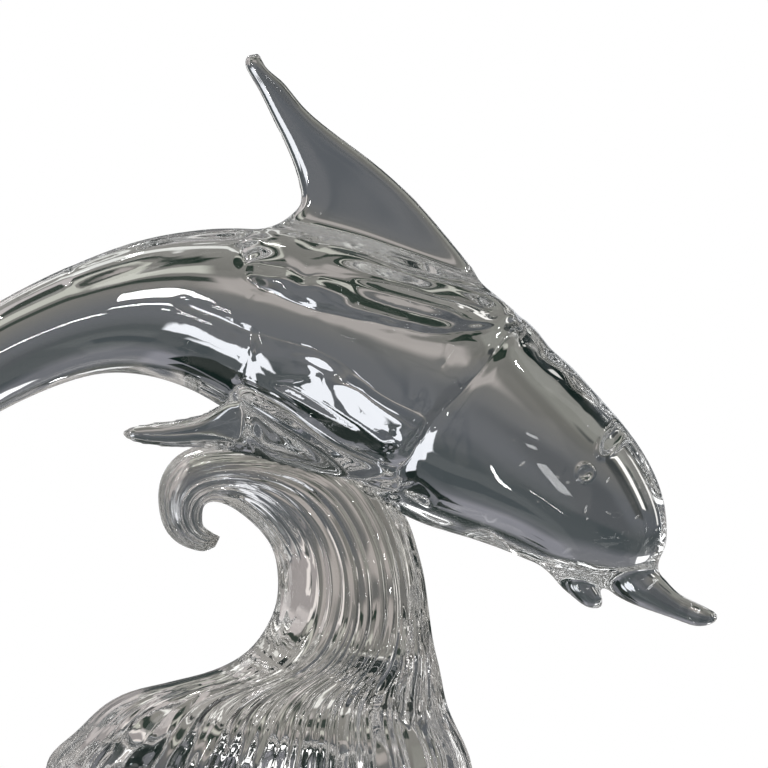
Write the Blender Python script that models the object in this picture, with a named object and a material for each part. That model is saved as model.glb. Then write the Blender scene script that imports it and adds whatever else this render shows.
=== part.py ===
"""A leaping dolphin of solid clear glass on a curling, ribbed glass wave.

Metres, +Z up. The dolphin's beak points along +X, its sides face -Y and +Y, and the origin is the
middle of the wave's ground underside. Both forms are free hand work, so their stations are given in
hundredths of the sculpture's height, while fins, ribs, eyes and the joint have sizes of their own.
"""

import math

import bmesh
import bpy
import numpy as np
from mathutils import Matrix, Vector

# Floor to the tip of the dorsal fin, which every station below is a share of.
HEIGHT = 0.345
HUNDREDTH = HEIGHT / 100

# The fins and flukes: thickness at the thickest place of each, and the span across both flukes.
DORSAL_FIN_THICKNESS = 0.0092
PECTORAL_FIN_THICKNESS = 0.0080
FLUKE_THICKNESS = 0.0090
FLUKE_SPAN = 0.135

# Each eye is a small ring of glass around a pressed dimple.
EYE_RING_DIAMETER = 0.0080
EYE_RING_THICKNESS = 0.0016
EYE_DIMPLE_DIAMETER = 0.0060
EYE_DIMPLE_DEPTH = 0.0013

# The wave: its ribs, the depth of its foot from front to back, and the gap at the joint.
RIB_COUNT = 28
TRUNK_RIB_DEPTH = 0.0013
FOOT_RIB_DEPTH = 0.0042
FOOT_DEPTH = 0.150
JOINT_GAP = 0.0003

# How finely the forms are faceted.
BODY_SIDES = 18
BLADE_SIDES = 12
JAW_SIDES = 12
POINTS_PER_RIB = 2
RINGS_PER_SPAN = 2

# Each row: back x and z, belly x and z, half width. From between the flukes to the melon.
BODY_STATIONS = (
    (-59.2, 30.5, -57.8, 29.2, 1.0),
    (-57.6, 34.9, -54.8, 33.1, 1.7),
    (-54.4, 41.4, -50.2, 38.6, 2.4),
    (-50.1, 49.2, -44.3, 44.7, 3.4),
    (-44.4, 57.9, -37.6, 50.6, 4.4),
    (-36.6, 65.6, -30.6, 54.8, 5.5),
    (-27.7, 70.7, -22.4, 57.8, 6.5),
    (-19.2, 74.3, -17.2, 58.3, 7.4),
    (-10.0, 76.6, -12.0, 57.4, 8.3),
    (-2.2, 77.1, -6.8, 55.2, 9.2),
    (5.6, 76.7, -0.9, 51.5, 10.0),
    (16.7, 73.7, 6.9, 47.1, 10.8),
    (25.2, 70.7, 14.1, 42.8, 11.1),
    (32.3, 67.8, 21.3, 38.8, 10.8),
    (38.2, 62.2, 27.8, 36.8, 10.3),
    (43.4, 56.6, 34.3, 34.4, 9.4),
    (48.0, 51.3, 38.9, 32.5, 8.3),
    (51.4, 46.0, 43.4, 31.7, 6.9),
    (53.1, 41.3, 47.4, 31.4, 5.3),
    (53.4, 38.2, 50.0, 31.9, 3.8),
    (53.2, 35.9, 51.7, 32.8, 2.2),
    (52.7, 34.9, 52.3, 33.5, 0.8),
)

# Each row: top x and z, bottom x and z, half width. From inside the head to the tip.
UPPER_JAW_STATIONS = (
    (48.5, 35.9, 44.7, 30.7, 3.9),
    (51.9, 32.9, 47.7, 28.8, 3.4),
    (54.5, 30.0, 51.1, 27.4, 2.6),
    (56.5, 28.7, 54.9, 26.1, 1.9),
    (58.4, 27.8, 57.8, 25.3, 1.5),
    (59.6, 27.1, 59.1, 25.6, 1.1),
    (60.1, 26.6, 59.9, 26.0, 0.4),
)
LOWER_JAW_STATIONS = (
    (40.8, 35.9, 36.9, 33.0, 2.9),
    (42.9, 32.9, 39.5, 30.5, 2.5),
    (44.5, 30.3, 41.6, 28.7, 1.9),
    (45.1, 28.7, 43.2, 27.7, 1.2),
    (45.0, 27.9, 44.3, 27.5, 0.5),
)

# Each row: leading edge x and z, trailing edge x and z, share of the fin's thickness.
DORSAL_FIN_STATIONS = (
    (34.7, 61.3, -0.6, 74.0, 3.0),
    (34.3, 65.5, 0.4, 76.9, 2.1),
    (31.7, 68.1, 3.5, 78.3, 1.5),
    (28.7, 71.1, 5.6, 80.1, 1.15),
    (25.0, 75.7, 5.7, 82.3, 1.0),
    (20.1, 81.3, 5.0, 85.0, 0.9),
    (14.6, 86.1, 3.5, 88.7, 0.84),
    (9.3, 90.1, 2.0, 91.7, 0.8),
    (5.6, 93.5, 0.4, 95.0, 0.78),
    (3.0, 96.5, -0.9, 97.3, 0.8),
    (1.0, 98.3, -1.5, 98.9, 0.76),
    (0.3, 99.9, -1.2, 99.7, 0.4),
)

# Each row: upper edge x, z and distance out from the middle plane, the same of the lower edge, share
# of the fin's thickness. The upper edge stays in the flank as far as the fifth row, then sweeps out.
PECTORAL_FIN_STATIONS = (
    (18.6, 46.8, 3.5, 18.9, 44.2, 4.1, 1.5),
    (16.7, 46.8, 5.2, 17.1, 44.0, 6.1, 1.3),
    (12.2, 49.7, 5.8, 12.2, 44.7, 7.8, 1.1),
    (5.7, 53.1, 5.8, 5.8, 46.1, 9.6, 1.0),
    (-0.4, 55.3, 6.1, -0.5, 47.7, 11.6, 0.9),
    (-3.7, 54.6, 7.8, -4.0, 48.5, 12.8, 0.8),
    (-6.3, 53.2, 10.4, -7.4, 48.8, 13.6, 0.72),
    (-9.6, 52.4, 12.8, -10.7, 48.9, 14.3, 0.66),
    (-13.0, 51.8, 14.2, -13.9, 49.3, 14.9, 0.58),
    (-15.5, 51.4, 15.1, -15.7, 49.9, 15.2, 0.5),
    (-16.4, 50.9, 15.4, -16.4, 50.4, 15.4, 0.25),
)

# The flukes lie across the tail stock. Each row: share of the half span, how far along the tail
# the leading and trailing edges lie, share of the flukes' thickness, lift of the tips.
FLUKE_ROOT = (-55.3, 35.6)
FLUKE_HEADING = (-0.53, -0.85)
FLUKE_STATIONS = (
    (0.0, -5.2, 6.5, 1.0, 0.0),
    (0.2, -1.6, 8.6, 0.85, 0.0),
    (0.47, 2.9, 10.2, 0.68, 0.5),
    (0.74, 6.5, 11.0, 0.54, 1.2),
    (0.93, 9.4, 11.5, 0.36, 1.9),
    (1.0, 10.7, 11.5, 0.2, 2.2),
)

# Where the eyes are: how far along the body's stations, and the angle down from the back.
EYE_STATION = 15.57
EYE_ANGLE = math.radians(79)

# Each row: hollow side x and z, outer side x and z, half depth. From the floor to the curl's tip.
WAVE_STATIONS = (
    (-26.9, 0.0, 26.9, 0.0, 20.7),
    (-28.0, 1.8, 28.2, 1.8, 21.7),
    (-27.8, 4.2, 28.3, 4.4, 21.7),
    (-27.0, 8.2, 27.7, 8.5, 20.0),
    (-23.7, 11.5, 26.3, 11.6, 17.2),
    (-19.8, 15.1, 24.8, 15.0, 14.2),
    (-14.0, 17.4, 24.0, 18.3, 11.9),
    (-6.1, 19.4, 23.4, 21.3, 9.9),
    (-1.3, 22.0, 22.8, 24.3, 8.8),
    (1.7, 26.1, 22.3, 28.0, 8.1),
    (2.7, 30.0, 21.7, 32.0, 7.6),
    (2.4, 33.9, 20.7, 35.9, 7.2),
    (0.8, 37.0, 19.0, 40.4, 6.8),
    (-1.8, 39.7, 14.6, 46.0, 6.4),
    (-5.2, 41.5, 4.5, 49.1, 5.7),
    (-7.0, 40.8, -5.6, 49.2, 5.0),
    (-7.2, 39.8, -10.3, 47.7, 4.6),
    (-7.2, 39.0, -12.3, 45.0, 4.2),
    (-7.0, 38.3, -12.8, 41.7, 3.8),
    (-6.7, 38.0, -12.1, 38.5, 3.2),
    (-6.3, 37.7, -10.2, 36.1, 2.5),
    (-5.7, 37.3, -7.3, 35.2, 1.6),
    (-5.0, 36.7, -5.4, 35.9, 0.4),
)


def start_clean():
    """Removes every object of the scene and makes one collection for parts and one for helpers."""
    for obj in list(bpy.data.objects):
        bpy.data.objects.remove(obj)
    collections = []
    for name in ("glass dolphin sculpture", "cutters"):
        collection = bpy.data.collections.new(name)
        bpy.context.scene.collection.children.link(collection)
        collections.append(collection)
    return collections


def glass(name, color, roughness):
    """Clear glass as a Principled BSDF."""
    material = bpy.data.materials.new(name)
    material.use_nodes = True
    shader = material.node_tree.nodes["Principled BSDF"]
    shader.inputs["Base Color"].default_value = (*color, 1.0)
    shader.inputs["Metallic"].default_value = 0.0
    shader.inputs["Roughness"].default_value = roughness
    shader.inputs["IOR"].default_value = 1.52
    shader.inputs["Transmission Weight"].default_value = 1.0
    return material


def curve_through(stations, per_span):
    """Rows on natural cubic curves through the stations, per_span rows to each span."""
    rows = np.array(stations, float)
    spans = np.linalg.norm(np.diff(rows, axis=0), axis=1)
    slopes = np.diff(rows, axis=0) / spans[:, None]
    system = np.eye(len(rows))
    bend = np.zeros_like(rows)
    for i in range(1, len(rows) - 1):
        system[i, i - 1 : i + 2] = spans[i - 1], 2 * (spans[i - 1] + spans[i]), spans[i]
        bend[i] = 6 * (slopes[i] - slopes[i - 1])
    bend = np.linalg.solve(system, bend)
    found = []
    for i, span in enumerate(spans):
        for step in range(per_span):
            s = step / per_span
            r = 1 - s
            found.append(
                r * rows[i]
                + s * rows[i + 1]
                + span**2 / 6 * ((r**3 - r) * bend[i] + (s**3 - s) * bend[i + 1])
            )
    found.append(rows[-1])
    return np.array(found)


def section(first, second, half_width, angle, fullness=2.0):
    """A point of an oval that runs from first (at angle 0) to second, and half_width out to each side.

    A fullness of 2 gives an ellipse, and more gives a slab with round edges.
    """
    along = math.copysign(abs(math.cos(angle)) ** (2 / fullness), math.cos(angle))
    out = math.copysign(abs(math.sin(angle)) ** (2 / fullness), math.sin(angle))
    return (first + second) / 2 + (first - second) / 2 * along + half_width * out


def loft(name, rings, collection):
    """A closed body with a skin from ring to ring and a flat cap at each end."""
    mesh = bpy.data.meshes.new(name)
    shape = bmesh.new()
    loops = [[shape.verts.new(point) for point in ring] for ring in rings]
    sides = len(loops[0])
    for loop, following in zip(loops, loops[1:]):
        for i in range(sides):
            j = (i + 1) % sides
            shape.faces.new((loop[i], loop[j], following[j], following[i]))
    shape.faces.new(loops[0])
    shape.faces.new(loops[-1])
    bmesh.ops.recalc_face_normals(shape, faces=shape.faces)
    shape.to_mesh(mesh)
    shape.free()
    obj = bpy.data.objects.new(name, mesh)
    collection.objects.link(obj)
    return obj


def helper(obj):
    """Marks an object as one that only cuts or joins others."""
    obj.hide_render = True
    obj.display_type = "WIRE"
    return obj


def combine(obj, other, operation, solver="EXACT"):
    """Joins other to obj, or cuts it away, with a Boolean modifier."""
    modifier = obj.modifiers.new(f"{operation.lower()} {other.name}", "BOOLEAN")
    modifier.object = helper(other)
    modifier.operation = operation
    modifier.solver = solver


def turns(count):
    """Evenly spaced angles of a full turn."""
    return [2 * math.pi * i / count for i in range(count)]


def in_plane(x, z, y=0.0):
    """A point from its drawn x and z, in hundredths of the height, and its y in metres."""
    return Vector((x * HUNDREDTH, y, z * HUNDREDTH))


def tube(name, stations, sides, collection):
    """A round form such as the body or a jaw, lofted through oval sections."""
    rings = []
    for upper_x, upper_z, lower_x, lower_z, half_width in curve_through(stations, RINGS_PER_SPAN):
        upper, lower = in_plane(upper_x, upper_z), in_plane(lower_x, lower_z)
        side = Vector((0, half_width * HUNDREDTH, 0))
        rings.append([section(upper, lower, side, angle) for angle in turns(sides)])
    return loft(name, rings, collection)


def dorsal_fin(collection):
    """The tall swept fin: a slab with round edges that flares where it leaves the back."""
    rings = []
    for lead_x, lead_z, trail_x, trail_z, share in curve_through(DORSAL_FIN_STATIONS, RINGS_PER_SPAN):
        lead, trail = in_plane(lead_x, lead_z), in_plane(trail_x, trail_z)
        side = Vector((0, share * DORSAL_FIN_THICKNESS / 2, 0))
        rings.append([section(lead, trail, side, angle, 2.6) for angle in turns(BLADE_SIDES)])
    return loft("dorsal fin", rings, collection)


def pectoral_fin(side, collection):
    """A leaf-shaped fin swept back along the flank. side is -1 for -Y and 1 for +Y."""
    rows = curve_through(PECTORAL_FIN_STATIONS, RINGS_PER_SPAN)
    across = side * HUNDREDTH
    uppers = [in_plane(x, z, out * across) for x, z, out, *_ in rows]
    lowers = [in_plane(x, z, out * across) for *_, x, z, out, _ in rows]
    centres = [(upper + lower) / 2 for upper, lower in zip(uppers, lowers)]
    rings = []
    for i, (upper, lower) in enumerate(zip(uppers, lowers)):
        heading = centres[min(i + 1, len(rows) - 1)] - centres[max(i - 1, 0)]
        thick = (upper - lower).cross(heading).normalized() * rows[i][-1] * PECTORAL_FIN_THICKNESS / 2
        rings.append([section(upper, lower, thick, angle) for angle in turns(BLADE_SIDES)])
    return loft(f"pectoral fin {side:+d}", rings, collection)


def flukes(collection):
    """Both tail flukes as one blade, lofted from tip to tip."""
    heading = Vector((FLUKE_HEADING[0], 0, FLUKE_HEADING[1])).normalized()
    upward = Vector((heading.z, 0, -heading.x))
    root = in_plane(*FLUKE_ROOT)
    half = curve_through(FLUKE_STATIONS, RINGS_PER_SPAN)
    whole = [(-row[0], *row[1:]) for row in half[:0:-1]] + [tuple(row) for row in half]
    rings = []
    for reach, lead, trail, share, lift in whole:
        middle = root + Vector((0, reach * FLUKE_SPAN / 2, 0)) + upward * lift * HUNDREDTH
        leading = middle + heading * lead * HUNDREDTH
        trailing = middle + heading * trail * HUNDREDTH
        thick = upward * share * FLUKE_THICKNESS / 2
        rings.append([section(leading, trailing, thick, angle) for angle in turns(BLADE_SIDES)])
    return loft("flukes", rings, collection)


def eye_frame(side):
    """The place of an eye on the head's skin, with +Z pointing straight out of the skin."""
    before, after = BODY_STATIONS[int(EYE_STATION)], BODY_STATIONS[int(EYE_STATION) + 1]
    share = EYE_STATION % 1
    back_x, back_z, belly_x, belly_z, half_width = (
        np.array(before) * (1 - share) + np.array(after) * share
    )
    back, belly = in_plane(back_x, back_z), in_plane(belly_x, belly_z)
    out = Vector((0, side * half_width * HUNDREDTH, 0))
    place = section(back, belly, out, EYE_ANGLE)
    half_height = (back - belly) / 2
    normal = (
        half_height / half_height.length_squared * math.cos(EYE_ANGLE)
        + out / out.length_squared * math.sin(EYE_ANGLE)
    )
    frame = normal.to_track_quat("Z", "Y").to_matrix().to_4x4()
    return Matrix.Translation(place) @ frame


def eye_ring(side, collection):
    """The raised ring of glass around an eye."""
    bpy.ops.mesh.primitive_torus_add(
        major_radius=EYE_RING_DIAMETER / 2,
        minor_radius=EYE_RING_THICKNESS / 2,
        major_segments=12,
        minor_segments=6,
    )
    return placed(f"eye ring {side:+d}", eye_frame(side), collection)


def eye_dimple(side, collection):
    """The ball that presses the dimple inside an eye's ring."""
    half_width, depth = EYE_DIMPLE_DIAMETER / 2, EYE_DIMPLE_DEPTH
    radius = (half_width**2 + depth**2) / (2 * depth)
    bpy.ops.mesh.primitive_ico_sphere_add(subdivisions=3, radius=radius)
    lifted = eye_frame(side) @ Matrix.Translation((0, 0, radius - depth))
    return placed(f"eye dimple {side:+d}", lifted, collection)


def placed(name, matrix, collection):
    """Names the object just added and moves it to its place and collection."""
    obj = bpy.context.object
    obj.name = name
    obj.matrix_world = matrix
    for holder in obj.users_collection:
        holder.objects.unlink(obj)
    collection.objects.link(obj)
    return obj


def dolphin(parts, cutters):
    """The whole dolphin as one piece of glass."""
    body = tube("dolphin", BODY_STATIONS, BODY_SIDES, parts)
    combine(body, dorsal_fin(cutters), "UNION")
    # The exact solver leaves open seams where the thin stock runs out in the flukes.
    combine(body, flukes(cutters), "UNION", "MANIFOLD")
    combine(body, tube("upper jaw", UPPER_JAW_STATIONS, JAW_SIDES, cutters), "UNION")
    combine(body, tube("lower jaw", LOWER_JAW_STATIONS, JAW_SIDES, cutters), "UNION")
    for side in (-1, 1):
        combine(body, pectoral_fin(side, cutters), "UNION")
        combine(body, eye_ring(side, cutters), "UNION")
        combine(body, eye_dimple(side, cutters), "DIFFERENCE")
    return body


def wave(parts):
    """The curling wave: ribs run its whole length and spread into lobes around the foot."""
    rows = curve_through(WAVE_STATIONS, RINGS_PER_SPAN)
    widest = max(half_depth for *_, half_depth in WAVE_STATIONS)
    depth_scale = FOOT_DEPTH / (2 * widest * HUNDREDTH)
    trunk = (WAVE_STATIONS[10][2] - WAVE_STATIONS[10][0]) / 2
    rings = []
    for inner_x, inner_z, outer_x, outer_z, half_depth in rows:
        inner, outer = in_plane(inner_x, inner_z), in_plane(outer_x, outer_z)
        side = Vector((0, half_depth * HUNDREDTH * depth_scale, 0))
        middle = (inner + outer) / 2
        size = (outer - inner).length / 2 / HUNDREDTH
        spread = min(max((size - trunk) / (widest - trunk), 0.0), 1.0)
        depth = TRUNK_RIB_DEPTH * min(size / trunk, 1.0)
        depth += (FOOT_RIB_DEPTH - TRUNK_RIB_DEPTH) * spread
        ring = []
        for number, angle in enumerate(turns(RIB_COUNT * POINTS_PER_RIB)):
            point = section(outer, inner, side, angle)
            crest = 1.0 if number % POINTS_PER_RIB == 0 else 0.0
            reach = (point - middle).length
            ring.append(middle + (point - middle) * (1 - depth * (1 - crest) / max(reach, depth)))
        rings.append(ring)
    return loft("wave", rings, parts)


def seat_for(obj, resting, cutters):
    """Hollows obj where resting sits in it, leaving the joint's gap all round."""
    grown = resting.copy()
    grown.data = resting.data.copy()
    grown.name = f"{resting.name} with gap"
    cutters.objects.link(grown)
    gap = grown.modifiers.new("joint gap", "DISPLACE")
    gap.strength = JOINT_GAP
    gap.mid_level = 0.0
    combine(obj, grown, "DIFFERENCE")


def main():
    parts, cutters = start_clean()
    animal = dolphin(parts, cutters)
    swell = wave(parts)
    seat_for(swell, animal, cutters)
    animal.data.materials.append(glass("dolphin glass", (0.86, 0.88, 0.89), 0.0))
    swell.data.materials.append(glass("wave glass", (0.88, 0.88, 0.87), 0.02))
    for obj in (animal, swell):
        obj.data.set_sharp_from_angle(angle=math.radians(30))


main()
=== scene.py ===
"""Looks of a clear glass dolphin that leaps over a curling, ribbed glass wave.

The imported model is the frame: metres, +Z up, the dolphin's beak towards +X and the origin in the
middle of the wave's ground underside. The dolphin and the wave stand in for the two solids of the
same names. Their stations are given in hundredths of the sculpture's height, as the glass was
worked freely, while fins, ribs, eyes and seams have sizes of their own.
"""

from __future__ import annotations

import logging
import math
from dataclasses import dataclass, field
from enum import Enum

import bmesh
import bpy
import numpy as np
from mathutils import Matrix, Vector
from mathutils.bvhtree import BVHTree

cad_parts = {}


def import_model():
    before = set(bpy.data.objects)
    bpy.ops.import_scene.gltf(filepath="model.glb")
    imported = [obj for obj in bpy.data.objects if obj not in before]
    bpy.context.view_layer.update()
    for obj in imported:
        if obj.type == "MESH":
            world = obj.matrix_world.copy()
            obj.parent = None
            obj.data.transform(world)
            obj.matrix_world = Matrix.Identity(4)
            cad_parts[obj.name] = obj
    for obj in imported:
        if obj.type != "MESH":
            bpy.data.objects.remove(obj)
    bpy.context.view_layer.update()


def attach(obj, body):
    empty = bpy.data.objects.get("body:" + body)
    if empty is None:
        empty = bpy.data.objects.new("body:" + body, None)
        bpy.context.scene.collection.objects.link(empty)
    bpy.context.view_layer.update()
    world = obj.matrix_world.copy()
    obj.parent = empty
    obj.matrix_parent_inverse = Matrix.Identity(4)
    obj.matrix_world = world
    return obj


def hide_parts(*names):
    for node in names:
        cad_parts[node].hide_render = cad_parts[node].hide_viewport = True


log = logging.getLogger("glass dolphin")

HUNDREDTH = 0.345 / 100
ROOT = "root"

# One round of smoothing pulls a point this share of the way to the middle of its neighbours, and
# a round that keeps the volume pushes it back a little more.
PULL = 0.5
PUSH = 0.52

Rows = tuple[tuple[float, ...], ...]
Span = tuple[float, float]
Colour = tuple[float, float, float]


class Flank(Enum):
    """A side of the dolphin: the one towards the camera, or the far one."""

    NEAR = -1
    FAR = 1


def curve_through(stations: Rows, per_span: int) -> np.ndarray:
    """Finds rows on natural cubic curves through the stations.

    Args:
        stations: rows of numbers, one row for each station.
        per_span: how many rows each span between two stations gets.

    Returns:
        An array with one row for each point along the curves.
    """
    rows = np.array(stations, float)
    spans = np.linalg.norm(np.diff(rows, axis=0), axis=1)
    slopes = np.diff(rows, axis=0) / spans[:, None]
    system = np.eye(len(rows))
    bend = np.zeros_like(rows)
    for i in range(1, len(rows) - 1):
        system[i, i - 1 : i + 2] = spans[i - 1], 2 * (spans[i - 1] + spans[i]), spans[i]
        bend[i] = 6 * (slopes[i] - slopes[i - 1])
    bend = np.linalg.solve(system, bend)
    shares = np.linspace(0, 1, per_span, endpoint=False)[:, None]
    rest = 1 - shares
    found = [
        rest * rows[i]
        + shares * rows[i + 1]
        + span**2 / 6 * ((rest**3 - rest) * bend[i] + (shares**3 - shares) * bend[i + 1])
        for i, span in enumerate(spans)
    ]
    return np.vstack([*found, rows[-1:]])


def smoothstep(values: np.ndarray, low: float, high: float) -> np.ndarray:
    """Eases from 0 at low to 1 at high.

    Args:
        values: the numbers to ease.
        low: where the result is 0.
        high: where the result is 1.

    Returns:
        An array of the same shape with values from 0 to 1.
    """
    share = np.clip((values - low) / (high - low), 0, 1)
    return share * share * (3 - 2 * share)


def in_plane(x: np.ndarray, z: np.ndarray, y: np.ndarray | float = 0.0) -> np.ndarray:
    """Turns drawn x and z, in hundredths of the height, and y in metres into points.

    Args:
        x: drawn x of each point.
        z: drawn z of each point.
        y: distance from the middle plane, in metres.

    Returns:
        An array of points with three columns.
    """
    return np.stack([x * HUNDREDTH, np.broadcast_to(y, np.shape(x)), z * HUNDREDTH], axis=-1)


def ovals(
    first: np.ndarray, second: np.ndarray, side: np.ndarray, sides: int, fullness: float = 2.0
) -> np.ndarray:
    """Draws an oval ring at each row, from first over side to second and back.

    Args:
        first: the point at angle 0 of each ring.
        second: the point at half a turn of each ring.
        side: the vector from each ring's middle to its widest point.
        sides: how many points a ring has.
        fullness: 2 for ellipses, and more for slabs with round edges.

    Returns:
        An array of rings by points by three.
    """
    angles = np.arange(sides) * 2 * math.pi / sides
    along = np.sign(np.cos(angles)) * np.abs(np.cos(angles)) ** (2 / fullness)
    out = np.sign(np.sin(angles)) * np.abs(np.sin(angles)) ** (2 / fullness)
    middle, half = (first + second) / 2, (first - second) / 2
    return (
        middle[:, None] + half[:, None] * along[None, :, None] + side[:, None] * out[None, :, None]
    )


def skin(name: str, rings: np.ndarray) -> bpy.types.Mesh:
    """Makes a closed mesh with a skin from ring to ring and a cap at each end.

    Args:
        name: the mesh's name.
        rings: an array of rings by points by three.

    Returns:
        The mesh, with its faces outwards.
    """
    count, sides = rings.shape[:2]
    grid = np.arange(count * sides).reshape(count, sides)
    quads = np.stack(
        [grid[:-1], np.roll(grid, -1, 1)[:-1], np.roll(grid, -1, 1)[1:], grid[1:]], axis=-1
    )
    faces = quads.reshape(-1, 4).tolist() + [grid[0][::-1].tolist(), grid[-1].tolist()]
    mesh = bpy.data.meshes.new(name)
    mesh.from_pydata(rings.reshape(-1, 3).tolist(), [], faces)
    shape = bmesh.new()
    shape.from_mesh(mesh)
    bmesh.ops.recalc_face_normals(shape, faces=shape.faces)
    shape.to_mesh(mesh)
    shape.free()
    return mesh


def place(mesh: bpy.types.Mesh) -> bpy.types.Object:
    """Puts a mesh in the scene as an object of the same name.

    Args:
        mesh: the mesh.

    Returns:
        The object.
    """
    piece = bpy.data.objects.new(mesh.name, mesh)
    bpy.context.scene.collection.objects.link(piece)
    return piece


def bake_modifiers(piece: bpy.types.Object) -> None:
    """Replaces an object's mesh with what its modifiers make of it.

    Args:
        piece: the object.
    """
    graph = bpy.context.evaluated_depsgraph_get()
    made = bpy.data.meshes.new_from_object(piece.evaluated_get(graph))
    piece.modifiers.clear()
    old, piece.data = piece.data, made
    name = old.name
    bpy.data.meshes.remove(old)
    made.name = name


@dataclass
class Surface:
    """The points of a mesh, for smoothing and carving it as arrays."""

    mesh: bpy.types.Mesh
    points: np.ndarray = field(init=False)
    ends: np.ndarray = field(init=False)
    valence: np.ndarray = field(init=False)

    def __post_init__(self) -> None:
        """Reads the mesh's points and edges."""
        count = len(self.mesh.vertices)
        self.points = np.empty(count * 3)
        self.mesh.vertices.foreach_get("co", self.points)
        self.points = self.points.reshape(-1, 3)
        ends = np.empty(len(self.mesh.edges) * 2, int)
        self.mesh.edges.foreach_get("vertices", ends)
        self.ends = ends.reshape(-1, 2)
        self.valence = np.bincount(self.ends.ravel(), minlength=count)

    def pull(self) -> np.ndarray:
        """Finds the way from each point to the middle of its neighbours.

        Returns:
            An array of vectors, one for each point.
        """
        first, last = self.ends.T
        count = len(self.points)
        total = np.stack(
            [
                np.bincount(first, self.points[last, axis], count)
                + np.bincount(last, self.points[first, axis], count)
                for axis in range(3)
            ],
            axis=-1,
        )
        return total / self.valence[:, None] - self.points

    def even_out(self, rounds: int) -> None:
        """Takes out fine unevenness and keeps the volume.

        Args:
            rounds: how often the points are pulled in and pushed back.
        """
        for _ in range(rounds):
            self.points += PULL * self.pull()
            self.points -= PUSH * self.pull()

    def average(self, rounds: int) -> None:
        """Smooths the points in so many rounds, without keeping the volume."""
        for _ in range(rounds):
            self.points += PULL * self.pull()

    def melt(self, rounds: int, share: np.ndarray) -> None:
        """Rounds corners as heat does, where share is above 0."""
        for _ in range(rounds):
            self.points += PULL * share[:, None] * self.pull()

    def raise_by(self, rise: np.ndarray) -> None:
        """Moves each point outwards along the surface's normal by its rise, in metres."""
        self.points += self.normals() * rise[:, None]

    def normals(self) -> np.ndarray:
        """Finds the outward direction at each point.

        Returns:
            An array of unit vectors, one for each point.
        """
        self.store()
        found = np.empty(len(self.points) * 3, np.float32)
        self.mesh.vertex_normals.foreach_get("vector", found)
        return found.reshape(-1, 3).astype(float)

    def store(self) -> None:
        """Writes the points back to the mesh."""
        self.mesh.vertices.foreach_set("co", self.points.ravel())
        self.mesh.update()


@dataclass(frozen=True)
class FirePolish:
    """Shading that is evened out as fire polish does, more so where the surface is calm.

    Attributes:
        fine_rounds: how often the normals are averaged everywhere.
        calm_rounds: how often they are averaged besides where the surface is calm.
        detail: how much of a normal the calm rounds may take before detail begins to be kept,
            and where all of it is kept.
    """

    fine_rounds: int = 3
    calm_rounds: int = 16
    detail: Span = (0.008, 0.030)

    def even_out(self, mesh: bpy.types.Mesh) -> None:
        """Gives a smooth mesh normals of its own.

        Args:
            mesh: the mesh.
        """
        mesh.shade_smooth()
        surface = Surface(mesh)
        surface.points = surface.normals()
        surface.average(self.fine_rounds)
        detailed = surface.points.copy()
        surface.average(self.calm_rounds)
        lost = np.linalg.norm(detailed - surface.points, axis=1)
        keep = smoothstep(lost, *self.detail)[:, None]
        surface.points = keep * detailed + (1 - keep) * surface.points
        lengths = np.linalg.norm(surface.points, axis=1, keepdims=True)
        mesh.normals_split_custom_set_from_vertices((surface.points / lengths).tolist())


def path_distance(points: np.ndarray, path: np.ndarray) -> tuple[np.ndarray, np.ndarray]:
    """Measures how far points are from a path, in the drawn plane.

    Args:
        points: points with three columns.
        path: drawn x and z of the path's corners, in hundredths of the height.

    Returns:
        The distance of each point in metres, and how far along the path it is, from 0 to 1.
    """
    flat = points[:, (0, 2)]
    corners = path * HUNDREDTH
    steps = np.diff(corners, axis=0)
    lengths = np.linalg.norm(steps, axis=1)
    best = np.full(len(points), np.inf)
    along = np.zeros(len(points))
    start = 0.0
    for corner, step, length in zip(corners, steps, lengths):
        share = np.clip((flat - corner) @ step / length**2, 0, 1)
        gap = np.linalg.norm(flat - corner - share[:, None] * step, axis=1)
        nearer = gap < best
        best[nearer] = gap[nearer]
        along[nearer] = (start + share * length)[nearer] / lengths.sum()
        start += length
    return best, along


def ripple(points: np.ndarray, seed: int, length: float, count: int = 14) -> np.ndarray:
    """Finds a smooth irregular swell through space, as hand tooling leaves it.

    Args:
        points: where to find the swell.
        seed: picks one of many swells.
        length: how far apart its crests are, in metres.
        count: how many plain waves it is made of.

    Returns:
        A number from about -1 to 1 for each point.
    """
    chance = np.random.default_rng(seed)
    swell = np.zeros(len(points))
    for _ in range(count):
        heading = chance.normal(size=3)
        heading /= np.linalg.norm(heading)
        wave_length = length * chance.uniform(0.7, 1.6)
        start = chance.uniform(0, 2 * math.pi)
        swell += np.sin(points @ heading * 2 * math.pi / wave_length + start)
    return swell / math.sqrt(count)


@dataclass(frozen=True)
class ClearGlass:
    """A fire-polished clear glass.

    Attributes:
        name: the material's name.
        slot: the record's material slot that it stands for; not used.
        tint: how much of each colour a surface lets through.
        roughness: 0 for a perfect polish.
        ior: how strongly the glass bends light.
    """

    name: str
    slot: str
    tint: Colour
    roughness: float = 0.0
    ior: float = 1.5

    def material(self) -> bpy.types.Material:
        """Makes the glass, with plain values on the shader's own sockets.

        Returns:
            The material.
        """
        made = bpy.data.materials.new(self.name)
        made.use_nodes = True
        shader = made.node_tree.nodes["Principled BSDF"]
        shader.inputs["Base Color"].default_value = (*self.tint, 1.0)
        shader.inputs["Metallic"].default_value = 0.0
        shader.inputs["Roughness"].default_value = self.roughness
        shader.inputs["IOR"].default_value = self.ior
        shader.inputs["Transmission Weight"].default_value = 1.0
        return made

    def dress(self, piece: bpy.types.Object, node: str) -> None:
        """Finishes a piece with this glass and lets it stand for its solid.

        Args:
            piece: the finished object.
            node: the solid that it replaces.
        """
        piece.data.materials.clear()
        piece.data.materials.append(self.material())
        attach(piece, ROOT)
        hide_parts(node)


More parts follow.
